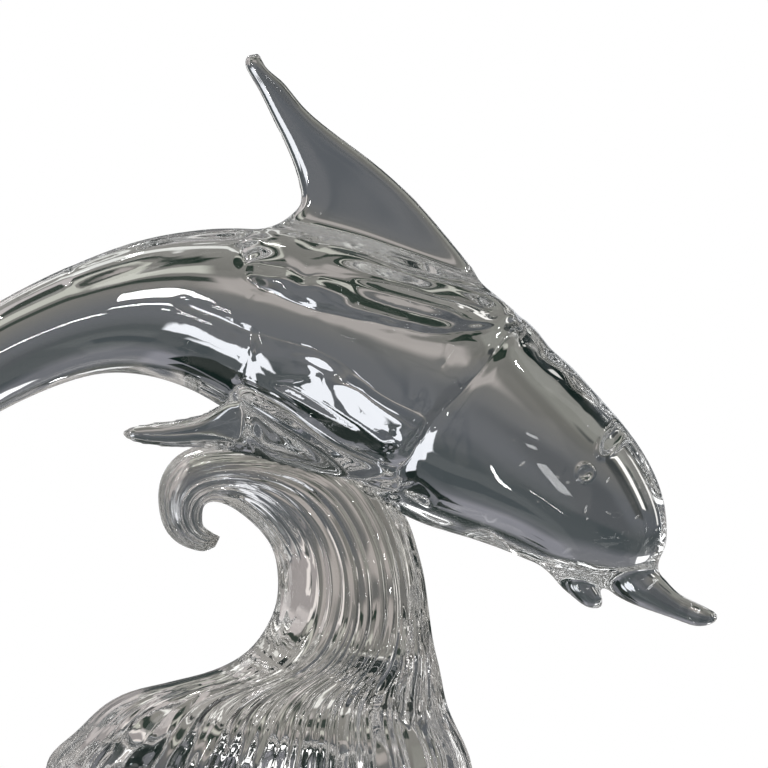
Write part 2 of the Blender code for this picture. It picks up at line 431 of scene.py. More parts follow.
@dataclass
class Tube:
    """A round form such as the body or a jaw.

    Attributes:
        name: what it is.
        stations: rows of upper x and z, lower x and z, and half width.
        sides: points around it.
        per_span: rings between two stations.
    """

    name: str
    stations: Rows
    sides: int = 72
    per_span: int = 6

    def mesh(self) -> bpy.types.Mesh:
        """Makes the closed form.

        Returns:
            The mesh.
        """
        rows = curve_through(self.stations, self.per_span).T
        side = in_plane(rows[0] * 0, rows[0] * 0, rows[4] * HUNDREDTH)
        return skin(
            self.name, ovals(in_plane(*rows[0:2]), in_plane(*rows[2:4]), side, self.sides)
        )


@dataclass
class DorsalFin:
    """The tall swept fin, a slab with round edges that flares at the back.

    Attributes:
        stations: rows of leading x and z, trailing x and z, and share of the thickness.
        thickness: of the flat part, in metres.
        fullness: how flat its faces are.
    """

    thickness: float = 0.0092
    fullness: float = 4.2
    stations: Rows = (
        (34.7, 61.3, -0.6, 74.0, 3.0),
        (34.3, 65.5, 0.4, 76.9, 2.1),
        (31.7, 68.1, 3.5, 78.3, 1.5),
        (28.7, 71.1, 5.6, 80.1, 1.15),
        (25.0, 75.7, 5.7, 82.3, 1.0),
        (20.1, 81.3, 5.0, 85.0, 0.9),
        (14.6, 86.1, 3.5, 88.7, 0.84),
        (9.3, 90.1, 2.0, 91.7, 0.8),
        (5.6, 93.5, 0.4, 95.0, 0.78),
        (3.0, 96.5, -0.9, 97.3, 0.8),
        (1.0, 98.3, -1.5, 98.9, 0.76),
        (0.3, 99.9, -1.2, 99.7, 0.4),
    )

    def mesh(self) -> bpy.types.Mesh:
        """Makes the closed blade.

        Returns:
            The mesh.
        """
        rows = curve_through(self.stations, 6).T
        side = in_plane(rows[0] * 0, rows[0] * 0, rows[4] * self.thickness / 2)
        lead, trail = in_plane(*rows[0:2]), in_plane(*rows[2:4])
        return skin("dorsal fin", ovals(lead, trail, side, 48, self.fullness))


@dataclass
class PectoralFin:
    """A leaf-shaped fin that sweeps back and out from the flank.

    Attributes:
        flank: the side that it is on.
        thickness: at the thickest place, in metres.
        stations: rows of upper x, z and distance out, the same of the lower edge, and share of
            the thickness.
    """

    flank: Flank
    thickness: float = 0.0080
    stations: Rows = (
        (18.6, 46.8, 3.5, 18.9, 44.2, 4.1, 1.5),
        (16.7, 46.8, 5.2, 17.1, 44.0, 6.1, 1.3),
        (12.2, 49.7, 5.8, 12.2, 44.7, 7.8, 1.1),
        (5.7, 53.1, 5.8, 5.8, 46.1, 9.6, 1.0),
        (-0.4, 55.3, 6.1, -0.5, 47.7, 11.6, 0.9),
        (-3.7, 54.6, 7.8, -4.0, 48.5, 12.8, 0.8),
        (-6.3, 53.2, 10.4, -7.4, 48.8, 13.6, 0.72),
        (-9.6, 52.4, 12.8, -10.7, 48.9, 14.3, 0.66),
        (-13.0, 51.8, 14.2, -13.9, 49.3, 14.9, 0.58),
        (-15.5, 51.4, 15.1, -15.7, 49.9, 15.2, 0.5),
        (-16.4, 50.9, 15.4, -16.4, 50.4, 15.4, 0.25),
    )

    def mesh(self) -> bpy.types.Mesh:
        """Makes the closed blade.

        Returns:
            The mesh.
        """
        rows = curve_through(self.stations, 6).T
        across = self.flank.value * HUNDREDTH
        upper = in_plane(rows[0], rows[1], rows[2] * across)
        lower = in_plane(rows[3], rows[4], rows[5] * across)
        heading = np.gradient((upper + lower) / 2, axis=0)
        thick = np.cross(upper - lower, heading)
        thick *= (rows[6] * self.thickness / 2 / np.linalg.norm(thick, axis=1))[:, None]
        return skin(f"pectoral fin {self.flank.name.lower()}", ovals(upper, lower, thick, 48))


@dataclass
class Flukes:
    """Both tail flukes as one blade across the tail stock.

    Attributes:
        span: from tip to tip, in metres.
        thickness: in the middle, in metres.
        root: drawn x and z of the middle.
        heading: the drawn direction of the tail there.
        stations: rows of share of the half span, how far along the tail the leading and trailing
            edges lie, share of the thickness, and lift of the tips.
    """

    span: float = 0.135
    thickness: float = 0.0090
    root: Span = (-55.3, 35.6)
    heading: Span = (-0.53, -0.85)
    stations: Rows = (
        (0.0, -5.2, 6.5, 1.0, 0.0),
        (0.2, -1.6, 8.6, 0.85, 0.0),
        (0.47, 2.9, 10.2, 0.68, 0.5),
        (0.74, 6.5, 11.0, 0.54, 1.2),
        (0.93, 9.4, 11.5, 0.36, 1.9),
        (1.0, 10.7, 11.5, 0.2, 2.2),
    )

    def mesh(self) -> bpy.types.Mesh:
        """Makes the closed blade from tip to tip.

        Returns:
            The mesh.
        """
        half = curve_through(self.stations, 8)
        other = half[:0:-1] * (-1, 1, 1, 1, 1)
        reach, lead, trail, share, lift = np.vstack([other, half]).T
        ahead = np.array([self.heading[0], 0, self.heading[1]])
        ahead /= np.linalg.norm(ahead)
        upward = np.array([ahead[2], 0, -ahead[0]])
        root = np.array([self.root[0], 0, self.root[1]]) * HUNDREDTH
        middle = (
            root
            + np.outer(reach * self.span / 2, (0, 1, 0))
            + np.outer(lift * HUNDREDTH, upward)
        )
        leading = middle + np.outer(lead * HUNDREDTH, ahead)
        trailing = middle + np.outer(trail * HUNDREDTH, ahead)
        thick = np.outer(share * self.thickness / 2, upward)
        return skin("flukes", ovals(leading, trailing, thick, 48))


@dataclass
class Eye:
    """A small raised ring around a pressed dimple.

    Attributes:
        flank: the side that it is on.
        place: drawn x and z of its middle.
        ring: radius of the ring's crest, in metres.
        ring_height: how far the ring stands out.
        ring_width: how wide the ring's swell is.
        dimple: radius of the dimple, partway up its wall.
        depth: how deep the dimple is.
        wall: how steep the dimple's wall is.
        refined: how far from its middle the faces are halved, and then halved again.
    """

    flank: Flank
    place: Span = (42.3, 45.5)
    ring: float = 0.0037
    ring_height: float = 0.0013
    ring_width: float = 0.0009
    dimple: float = 0.002516
    depth: float = 0.0032
    wall: int = 6
    refined: Span = (0.009, 0.0065)

    def refine(self, shape: bmesh.types.BMesh) -> None:
        """Gives the mesh finer faces around the eye.

        Args:
            shape: the dolphin's mesh, which is changed.
        """
        x, z = (value * HUNDREDTH for value in self.place)
        for reach in self.refined:
            near = [
                edge
                for edge in shape.edges
                if all(
                    math.hypot(v.co.x - x, v.co.z - z) < reach and v.co.y * self.flank.value > 0
                    for v in edge.verts
                )
            ]
            bmesh.ops.subdivide_edges(shape, edges=near, cuts=1, use_grid_fill=True)

    def press(self, surface: Surface) -> None:
        """Raises the ring and presses the dimple.

        Args:
            surface: the points that it changes.
        """
        x, z = (value * HUNDREDTH for value in self.place)
        points = surface.points
        near = points[:, 1] * self.flank.value > 0
        away = np.hypot(points[:, 0] - x, points[:, 2] - z)
        centre = np.flatnonzero(near)[np.argmin(away[near])]
        outward = surface.normals()[centre]
        offset = points - points[centre]
        radius = np.linalg.norm(offset - np.outer(offset @ outward, outward), axis=1)
        rise = self.ring_height * np.exp(-(((radius - self.ring) / self.ring_width) ** 2))
        rise -= self.depth * np.exp(-((radius / self.dimple) ** self.wall))
        points += np.outer(rise * near, outward)


@dataclass
class Seam:
    """A groove where two gathers of hot glass meet, or where a tool creased them.

    Attributes:
        path: drawn x and z of its corners.
        depth: in metres.
        width: half width of the groove.
        breaks: how much the depth comes and goes along it, from 0 to 1.
        drift: how far it strays from its path, in metres.
        drift_length: how far apart the crests of that straying are.
        pulse: how fast the breaks follow each other, in radians along the whole seam.
        fade: share of its length over which it fades at each end.
        open_end: share of the depth that is left at its ends.
    """

    path: Rows
    depth: float
    width: float
    breaks: float = 0.3
    drift: float = 0.0005
    drift_length: float = 0.012
    pulse: float = 23.0
    fade: float = 0.05
    open_end: float = 0.3

    def press(self, surface: Surface) -> None:
        """Presses the groove.

        Args:
            surface: the points that it changes.
        """
        gap, along = path_distance(surface.points, curve_through(self.path, 5))
        wander = ripple(surface.points, seed=len(self.path), length=self.drift_length)
        gap = np.abs(gap + self.drift * wander)
        depth = self.depth * np.exp(-((gap / self.width) ** 2))
        depth *= 1 - self.breaks * (0.5 + 0.5 * np.sin(along * self.pulse + wander))
        ends = smoothstep(along, 0.0, self.fade) * (1 - smoothstep(along, 1 - self.fade, 1.0))
        surface.raise_by(-depth * (self.open_end + (1 - self.open_end) * ends))


@dataclass
class ToolMarks:
    """A stretch that the tools left wavy while the glass was soft.

    Attributes:
        path: drawn x and z of the stretch's middle line.
        reach: how far it spreads from that line, in metres.
        depth: how high its waves are.
        length: how far apart the waves are.
        grain: the drawn direction that the waves are drawn out along.
        seed: picks one of many swells.
        stretch: how much they are drawn out, from 0 to 1.
        core: share of the reach over which they are at full height.
    """

    path: Rows
    reach: float
    depth: float
    length: float
    grain: Span
    seed: int
    stretch: float = 0.6
    core: float = 0.35

    def press(self, surface: Surface) -> None:
        """Presses the waves.

        Args:
            surface: the points that it changes.
        """
        gap, _ = path_distance(surface.points, curve_through(self.path, 4))
        near = 1 - smoothstep(gap, self.core * self.reach, self.reach)
        grain = np.array([self.grain[0], 0, self.grain[1]])
        grain /= np.linalg.norm(grain)
        points = surface.points - self.stretch * np.outer(surface.points @ grain, grain)
        swell = ripple(points, self.seed, self.length)
        surface.raise_by(self.depth * near * swell)


def cover(surface: Surface, outline: Rows, edge: float) -> np.ndarray:
    """Finds which points of both flanks lie within an outline.

    Args:
        surface: the surface that the outline is drawn on.
        outline: drawn x and z of its corners.
        edge: width of its soft edge, in metres.

    Returns:
        A number for each point, 1 inside and 0 outside, and lower where a flank turns away.
    """
    corners = np.array([*outline, outline[0]])
    gap, _ = path_distance(surface.points, corners)
    flat = surface.points[:, (0, 2)] / HUNDREDTH
    inside = np.zeros(len(flat), bool)
    for (x0, z0), (x1, z1) in zip(corners[:-1], corners[1:]):
        if z0 != z1:
            spans = (flat[:, 1] < z0) != (flat[:, 1] < z1)
            inside ^= spans & (flat[:, 0] < x0 + (flat[:, 1] - z0) * (x1 - x0) / (z1 - z0))
    share = smoothstep(np.where(inside, gap, -gap), -edge / 2, edge / 2)
    return share * smoothstep(np.abs(surface.normals()[:, 1]), 0.15, 0.7)


@dataclass
class Pad:
    """A gather of glass that was laid on the flank and stands a little proud.

    Attributes:
        outline: drawn x and z of its corners.
        height: how far it stands out, in metres.
        edge: width of its rounded edge.
    """

    outline: Rows
    height: float
    edge: float

    def press(self, surface: Surface) -> None:
        """Raises the pad.

        Args:
            surface: the points that it changes.
        """
        rise = self.height * cover(surface, self.outline, self.edge)
        surface.raise_by(rise)


@dataclass
class Facet:
    """A flat place that was pressed into both flanks at a slant.

    Attributes:
        outline: drawn x and z of its corners.
        slope: how steeply it goes in.
        dip: the drawn direction in which it goes in, in degrees up from level.
        edge: width of its rounded edge, in metres.
        lift: how far its highest corner stands out, in metres.
    """

    outline: Rows
    slope: float
    dip: float
    edge: float = 0.0016
    lift: float = 0.0

    def press(self, surface: Surface) -> None:
        """Presses the facet.

        Args:
            surface: the points that it changes.
        """
        turn = math.radians(self.dip)
        heading = np.array([math.cos(turn), math.sin(turn)])
        start = (np.array(self.outline) * HUNDREDTH @ heading).min()
        depth = self.slope * np.clip(surface.points[:, (0, 2)] @ heading - start, 0, None)
        depth = (depth - self.lift) * cover(surface, self.outline, self.edge)
        surface.raise_by(-depth)


@dataclass
class Hollow:
    """An oval hollow pressed into both flanks.

    Attributes:
        place: drawn x and z of its middle.
        radius: half its length, in metres.
        depth: in the middle, and below 0 for a swelling.
        narrow: its width as a share of its length.
        slant: how far its length is turned up from level, in degrees.
    """

    place: Span
    radius: float
    depth: float
    narrow: float = 1.0
    slant: float = 0.0

    def press(self, surface: Surface) -> None:
        """Presses the hollow.

        Args:
            surface: the points that it changes.
        """
        x, z = (value * HUNDREDTH for value in self.place)
        x, z = surface.points[:, 0] - x, surface.points[:, 2] - z
        turn = math.radians(self.slant)
        along = x * math.cos(turn) + z * math.sin(turn)
        across = (z * math.cos(turn) - x * math.sin(turn)) / self.narrow
        away = np.hypot(along, across) / self.radius
        depth = self.depth * np.exp(-(away**2))
        surface.raise_by(-depth)


@dataclass
class Seed:
    """A tiny bubble of air sealed in the glass, drawn out as the glass was worked.

    Attributes:
        place: drawn x and z of its middle.
        depth: distance from the middle plane, in metres.
        radius: half its width.
        length: its length as a share of its width.
        slant: how far its length is turned up from level, in degrees.
    """

    place: Span
    depth: float
    radius: float
    length: float = 1.0
    slant: float = 0.0

    def open_in(self, shape: bmesh.types.BMesh) -> None:
        """Adds the bubble's wall, which faces the air inside it.

        Args:
            shape: the mesh of the glass around it, which is changed.
        """
        x, z = (value * HUNDREDTH for value in self.place)
        turn = Matrix.Rotation(math.radians(-self.slant), 4, "Y")
        size = Matrix.Diagonal((self.length, 1.0, 1.0, 1.0))
        made = bmesh.ops.create_icosphere(
            shape,
            subdivisions=3,
            radius=self.radius,
            matrix=Matrix.Translation((x, self.depth, z)) @ turn @ size,
        )
        faces = {face for corner in made["verts"] for face in corner.link_faces}
        bmesh.ops.reverse_faces(shape, faces=list(faces))


@dataclass
class Dolphin:
    """The whole dolphin as one piece of glass.

    Attributes:
        glass: its finish.
        grain: edge length of its faces, in metres.
        fillet: how far from a fin's root the glass is rounded.
        rounds: how often the surface is evened out before and after the roots are melted.
        melt_rounds: how long the roots are melted.
        swell: how far hand tooling left the surface uneven.
        swell_length: how far apart the crests of that unevenness are.
        seams: creases on both flanks.
        pads: gathers that were laid on both flanks.
        marks: wavy stretches on both flanks.
        hollows: pressed hollows on both flanks.
        facets: flat slanting places on both flanks.
        eyes: the near eye, and a flatter one on the far flank that is hardly seen through the head.
        seeds: bubbles in the head.
        body: rows of back x and z, belly x and z, and half width.
        upper_jaw: the same of the upper jaw.
        lower_jaw: the same of the lower jaw.
    """

    glass: ClearGlass
    grain: float = 0.0013
    fillet: float = 0.0075
    rounds: tuple[int, int] = (32, 16)
    melt_rounds: int = 110
    swell: float = 0.00012
    swell_length: float = 0.034
    seams: tuple[Seam, ...] = (
        Seam(
            (
                (34.0, 65.1),
                (32.1, 62.5),
                (29.9, 59.7),
                (27.6, 57.1),
                (25.3, 54.6),
                (23.2, 52.5),
                (21.2, 49.7),
                (19.4, 47.1),
                (18.1, 44.3),
                (18.4, 41.6),
            ),
            depth=0.0016,
            width=0.0024,
        ),
        Seam(
            ((-0.7, 75.9), (-1.2, 72.5), (-0.7, 68.9), (-1.0, 66.1), (-0.4, 63.2), (-1.7, 56.6)),
            depth=0.0004,
            width=0.0013,
            breaks=0.6,
        ),
        Seam(
            (
                (-1.2, 70.1),
                (0.9, 69.5),
                (3.8, 68.0),
                (8.1, 66.5),
                (12.2, 65.5),
                (16.7, 64.6),
                (20.5, 63.7),
                (25.0, 63.3),
                (29.5, 64.1),
                (34.0, 65.2),
            ),
            depth=0.0012,
            width=0.0024,
        ),
        Seam(
            (
                (-9.6, 67.3),
                (-5.1, 65.6),
                (-0.7, 63.7),
                (3.8, 62.4),
                (8.1, 61.1),
                (11.6, 59.2),
                (15.0, 56.0),
                (18.6, 53.4),
                (21.8, 51.2),
            ),
            depth=0.0014,
            width=0.0016,
        ),
        Seam(
            ((-3.0, 57.2), (0.9, 55.5), (4.5, 53.3), (8.1, 50.5), (11.6, 48.4), (16.7, 46.3)),
            depth=0.0026,
            width=0.0024,
            breaks=0.1,
        ),
        Seam(
            ((34.3, 64.8), (35.1, 61.9), (36.6, 58.4), (39.4, 56.4), (42.4, 55.1), (45.1, 53.3)),
            depth=0.0007,
            width=0.0035,
            breaks=0.1,
        ),
    )
    pads: tuple[Pad, ...] = (
        Pad(
            (
                (-0.9, 70.3),
                (3.8, 68.0),
                (8.1, 66.5),
                (12.2, 65.5),
                (16.7, 64.6),
                (20.5, 63.7),
                (25.0, 63.3),
                (29.5, 64.1),
                (34.3, 65.0),
                (33.0, 67.4),
                (27.5, 70.1),
                (20.6, 72.8),
                (12.9, 75.1),
                (4.5, 76.6),
                (-1.2, 77.0),
            ),
            height=0.0016,
            edge=0.0045,
        ),
        Pad(
            (
                (0.4, 63.6),
                (3.8, 62.4),
                (8.1, 61.1),
                (11.6, 59.2),
                (15.0, 56.0),
                (18.6, 53.4),
                (21.8, 51.2),
                (19.6, 47.7),
                (18.0, 43.6),
                (5.8, 44.0),
                (-1.0, 49.7),
                (-0.6, 56.3),
            ),
            height=0.0009,
            edge=0.0045,
        ),
    )
    marks: tuple[ToolMarks, ...] = (
        ToolMarks(
            ((0.9, 71.8), (5.8, 71.8), (10.9, 70.7), (21.2, 68.4), (26.3, 67.1), (31.5, 65.9)),
            reach=0.015,
            depth=0.0018,
            length=0.020,
            grain=(0.93, -0.37),
            seed=5,
        ),
        ToolMarks(
            ((-22.5, 70.7), (-17.4, 72.5), (-11.6, 74.1), (-6.4, 74.9), (-1.3, 74.9)),
            reach=0.010,
            depth=0.0011,
            length=0.013,
            grain=(0.95, 0.3),
            seed=6,
        ),
        ToolMarks(
            ((-0.7, 58.4), (4.5, 56.7), (9.6, 54.2), (14.1, 51.6), (18.0, 49.0)),
            reach=0.013,
            depth=0.0001,
            length=0.016,
            grain=(0.87, -0.5),
            seed=7,
        ),
        ToolMarks(
            ((18.4, 49.7), (18.1, 46.5), (17.6, 43.3), (17.1, 41.3)),
            reach=0.006,
            depth=0.0006,
            length=0.006,
            grain=(0.0, 1.0),
            seed=8,
        ),
    )
    hollows: tuple[Hollow, ...] = (
        Hollow((16.2, 71.0), 0.0180, 0.0022, narrow=0.32, slant=-14.0),
        Hollow((6.2, 70.6), 0.0050, 0.0014, narrow=0.8, slant=-30.0),
        Hollow((7.0, 74.2), 0.0130, 0.0014, narrow=0.30, slant=-4.0),
        Hollow((24.6, 67.6), 0.0120, -0.0016, narrow=0.35, slant=-30.0),
        Hollow((10.6, 68.4), 0.0120, -0.0014, narrow=0.30, slant=-16.0),
        Hollow((29.5, 66.8), 0.0070, 0.0014, narrow=0.5, slant=-42.0),
        Hollow((37.9, 60.7), 0.0095, 0.0036, narrow=0.45, slant=-52.0),
        Hollow((43.6, 51.6), 0.0060, 0.0004),
        Hollow((23.9, 59.0), 0.0026, 0.0006, narrow=0.7, slant=60.0),
        Hollow((20.9, 55.6), 0.0026, 0.0006, narrow=0.5, slant=35.0),
        Hollow((21.6, 53.9), 0.0026, 0.0006, narrow=0.5, slant=25.0),
        Hollow((7.3, 58.9), 0.0120, 0.0016, narrow=0.5, slant=-35.0),
    )
    facets: tuple[Facet, ...] = (
        Facet(((18.5, 43.5), (20.9, 44.7), (23.1, 42.0), (22.5, 41.2), (19.3, 42.9)), 0.30, -100.0),
        Facet(
            (
                (2.3, 56.9),
                (8.9, 58.0),
                (13.8, 56.6),
                (17.7, 54.3),
                (21.7, 51.9),
                (20.6, 49.9),
                (18.5, 48.6),
                (15.7, 49.0),
                (13.0, 51.1),
                (9.7, 53.0),
                (6.1, 55.1),
            ),
            slope=0.20,
            dip=230.0,
            edge=0.003,
            lift=0.003,
        ),
    )
    eyes: tuple[Eye, ...] = (
        Eye(Flank.NEAR),
        Eye(Flank.FAR, place=(43.0, 47.0), ring_height=0.0005, depth=0.0010),
    )
    seeds: tuple[Seed, ...] = (
        Seed((34.3, 46.9), -0.012, 0.0006, 2.6, 35.0),
        Seed((39.9, 44.4), 0.004, 0.0005, 1.3, 0.0),
        Seed((38.7, 45.1), -0.016, 0.0004, 2.2, -40.0),
        Seed((44.7, 44.2), -0.004, 0.0005, 2.4, 60.0),
        Seed((42.3, 41.3), 0.010, 0.0005, 3.0, 88.0),
        Seed((42.6, 40.0), -0.006, 0.0004, 1.6, 80.0),
        Seed((45.2, 40.4), -0.014, 0.0004, 3.4, -30.0),
        Seed((48.2, 39.6), 0.006, 0.0004, 2.4, 40.0),
        Seed((37.3, 49.4), 0.012, 0.0003, 1.0, 0.0),
        Seed((33.1, 49.7), -0.008, 0.0003, 1.4, 20.0),
        Seed((41.0, 49.7), 0.014, 0.0003, 1.2, 0.0),
        Seed((50.8, 38.0), -0.003, 0.0004, 1.8, 50.0),
        Seed((49.5, 36.1), 0.008, 0.0003, 1.0, 0.0),
        Seed((46.6, 37.4), -0.010, 0.0003, 1.5, 10.0),
        Seed((36.8, 43.0), 0.016, 0.0003, 1.0, 0.0),
    )
    body: Rows = (
        (-59.2, 30.5, -57.8, 29.2, 1.0),
        (-57.6, 34.9, -54.8, 33.1, 1.7),
        (-54.4, 41.4, -50.2, 38.6, 2.4),
        (-50.1, 49.2, -44.3, 44.7, 3.4),
        (-44.4, 57.9, -37.6, 50.6, 4.4),
        (-36.6, 65.6, -30.6, 54.8, 5.5),
        (-27.7, 70.7, -22.4, 57.8, 6.5),
        (-19.2, 74.3, -17.2, 58.3, 7.4),
        (-10.0, 76.6, -12.0, 57.4, 8.3),
        (-2.2, 77.1, -6.8, 55.2, 9.2),
        (5.6, 76.7, -0.9, 51.5, 10.0),
        (16.7, 73.7, 6.9, 47.1, 10.8),
        (25.2, 70.7, 14.1, 42.8, 11.1),
        (32.3, 67.8, 21.3, 38.8, 10.8),
        (38.2, 62.2, 27.8, 36.8, 10.3),
        (43.4, 56.6, 34.3, 34.4, 9.4),
        (48.0, 51.3, 38.9, 32.5, 8.3),
        (51.4, 46.0, 43.4, 31.7, 6.9),
        (53.1, 41.3, 47.4, 31.4, 5.3),
        (53.4, 38.2, 50.0, 31.9, 3.8),
        (53.2, 35.9, 51.7, 32.8, 2.2),
        (52.7, 34.9, 52.3, 33.5, 0.8),
    )
    upper_jaw: Rows = (
        (48.5, 35.9, 44.7, 30.7, 3.9),
        (51.9, 32.9, 47.7, 28.8, 3.4),
        (54.5, 30.0, 51.1, 27.4, 2.6),
        (56.5, 28.7, 54.9, 26.1, 1.9),
        (58.4, 27.8, 57.8, 25.3, 1.5),
        (59.6, 27.1, 59.1, 25.6, 1.1),
        (60.1, 26.6, 59.9, 26.0, 0.4),
    )
    lower_jaw: Rows = (
        (40.8, 35.9, 36.9, 33.0, 2.9),
        (42.9, 32.9, 39.5, 30.5, 2.5),
        (44.5, 30.3, 41.6, 28.7, 1.9),
        (45.1, 28.7, 43.2, 27.7, 1.2),
        (45.0, 27.9, 44.3, 27.5, 0.5),
    )

    def raw_meshes(self) -> tuple[bpy.types.Mesh, list[bpy.types.Mesh]]:
        """Makes the body, and the forms that were stuck on while hot.

        Returns:
            The body's mesh and a list of the others.
        """
        body = Tube("dolphin", self.body, sides=96).mesh()
        added = [
            DorsalFin().mesh(),
            Flukes().mesh(),
            Tube("upper jaw", self.upper_jaw).mesh(),
            Tube("lower jaw", self.lower_jaw).mesh(),
            *(PectoralFin(flank).mesh() for flank in Flank),
        ]
        return body, added

    def root_nearness(
        self, points: np.ndarray, body: bpy.types.Mesh, added: list[bpy.types.Mesh]
    ) -> np.ndarray:
        """Finds how near each point is to where a fin or jaw leaves the body.

        Args:
            points: points of the fused surface.
            body: the body on its own.
            added: the fins and jaws on their own.

        Returns:
            A number for each point, 1 at a root and 0 beyond the fillet's reach.
        """

        def distances(mesh: bpy.types.Mesh, chosen: np.ndarray) -> np.ndarray:
            """Measures how far the chosen points are from a mesh.

            Args:
                mesh: the body, a fin or a jaw on its own.
                chosen: the numbers of the points.

            Returns:
                A distance for each point of the surface, and 1 m beyond the fillet's reach.
            """
            tree = BVHTree.FromPolygons(
                [v.co for v in mesh.vertices], [p.vertices for p in mesh.polygons]
            )
            found = np.full(len(points), 1.0)
            for i in chosen:
                hit = tree.find_nearest(points[i], self.fillet * 1.05)
                if hit[0] is not None:
                    found[i] = hit[3]
            return found

        everywhere = np.arange(len(points))
        from_added = np.full(len(points), 1.0)
        for mesh in added:
            low = np.min([v.co for v in mesh.vertices], axis=0) - self.fillet
            high = np.max([v.co for v in mesh.vertices], axis=0) + self.fillet
            chosen = everywhere[((points > low) & (points < high)).all(axis=1)]
            from_added = np.minimum(from_added, distances(mesh, chosen))
        chosen = everywhere[from_added < self.fillet]
        from_body = distances(body, chosen)
        return 1 - smoothstep(np.maximum(from_body, from_added), 0.0, self.fillet)

    def build(self) -> bpy.types.Object:
        """Fuses the forms, melts the roots of the fins and carves the details.

        Returns:
            The finished object.
        """
        body, added = self.raw_meshes()
        shape = bmesh.new()
        for mesh in (body, *added):
            shape.from_mesh(mesh)
        fused = bpy.data.meshes.new("glass_dolphin")
        shape.to_mesh(fused)
        shape.free()
        piece = place(fused)
        remesh = piece.modifiers.new("fuse", "REMESH")
        remesh.mode = "VOXEL"
        remesh.voxel_size = self.grain
        bake_modifiers(piece)

        surface = Surface(piece.data)
        surface.even_out(self.rounds[0])
        near_root = self.root_nearness(surface.points, body, added)
        surface.melt(self.melt_rounds, near_root)
        surface.even_out(self.rounds[1])
        surface.store()
        shape = bmesh.new()
        shape.from_mesh(piece.data)
        for eye in self.eyes:
            eye.refine(shape)
        shape.to_mesh(piece.data)
        shape.free()

        surface = Surface(piece.data)
        swell = ripple(surface.points, seed=3, length=self.swell_length)
        surface.raise_by(self.swell * swell)
        for feature in (*self.pads, *self.marks, *self.hollows, *self.facets, *self.seams):
            feature.press(surface)
        for eye in self.eyes:
            eye.press(surface)
        surface.store()
        shape = bmesh.new()
        shape.from_mesh(piece.data)
        for seed in self.seeds:
            seed.open_in(shape)
        shape.to_mesh(piece.data)
        shape.free()
        FirePolish().even_out(piece.data)
        for mesh in (body, *added):
            bpy.data.meshes.remove(mesh)
        self.glass.dress(piece, "dolphin")
        return piece


@dataclass
class Drip:
    """A long drop of glass that ran down the near side of the trunk.

    Attributes:
        path: drawn x and z of its middle line, from its point to its round end.
        half_width: at its widest, in metres.
        height: how far it stands out.
        point: its width at the point, as a share of its width at the round end.
        ripples: height of the fine rings towards its round end.
        groove: depth of the groove around it.
        groove_place: where the groove runs, in half widths from the middle line.
        groove_width: how wide the groove is, in half widths.
        near_side: how far in front of the middle plane it begins and is full, in metres.
    """

    path: Rows = ((20.4, 29.8), (20.3, 25.3), (20.2, 21.4), (20.0, 17.6), (19.9, 14.9))
    half_width: float = 0.0046
    height: float = 0.0018
    point: float = 0.12
    ripples: float = 0.0002
    groove: float = 0.0012
    groove_place: float = 1.15
    groove_width: float = 0.22
    near_side: Span = (0.004, 0.012)

    def press(self, surface: Surface) -> None:
        """Raises the drop and presses the groove around it.

        Args:
            surface: the points that it changes.
        """
        gap, along = path_distance(surface.points, curve_through(self.path, 6))
        width = self.half_width * (self.point + (1 - self.point) * smoothstep(along, 0.0, 0.85))
        share = gap / width
        rise = self.height * np.sqrt(np.clip(1 - share**2, 0, 1)) * smoothstep(along, 0, 0.4)
        rings = np.cos(along * 60 - share * 3) * (share < 1)
        rise += self.ripples * rings * smoothstep(along, 0.3, 0.6)
        rise -= self.groove * np.exp(-(((share - self.groove_place) / self.groove_width) ** 2))
        rise *= smoothstep(-surface.points[:, 1], *self.near_side)
        surface.raise_by(rise)


def furrows(place_on: np.ndarray, count: float = 1.0) -> np.ndarray:
    """Cuts sharp furrows with round crests between them.

    Args:
        place_on: where the points lie across the ribs, where 1 is the width of a rib.
        count: how many furrows there are to a rib.

    Returns:
        How deep each point lies, from 0 on a crest to nearly 1 in a furrow.
    """
    return np.clip(1 - np.sqrt(np.cos(count * math.pi * place_on) ** 2 + 0.02), 0, 1)


@dataclass
class Wander:
    """Slow changes around and along the wave, all drawn in turn from one seed.

    Attributes:
        chance: where the next change is drawn from.
        turn: how far around the wave each point of a ring is, from 0 to 1.
        ring: how far along the wave each ring is, from 0 to 1, as a column.
    """

    chance: np.random.Generator
    turn: np.ndarray
    ring: np.ndarray

    def change(self, waves: Rows, low: float, high: float) -> np.ndarray:
        """Draws the next change.

        Args:
            waves: rows of crests around a ring and crests from the first ring to the last.
            low: the least height of a wave.
            high: the greatest height of a wave.

        Returns:
            An array of rings by points.
        """
        return sum(
            self.chance.uniform(low, high)
            * np.sin(
                2 * math.pi * (wave * self.turn + pitch * self.ring + self.chance.random())
            )
            for wave, pitch in waves
        )


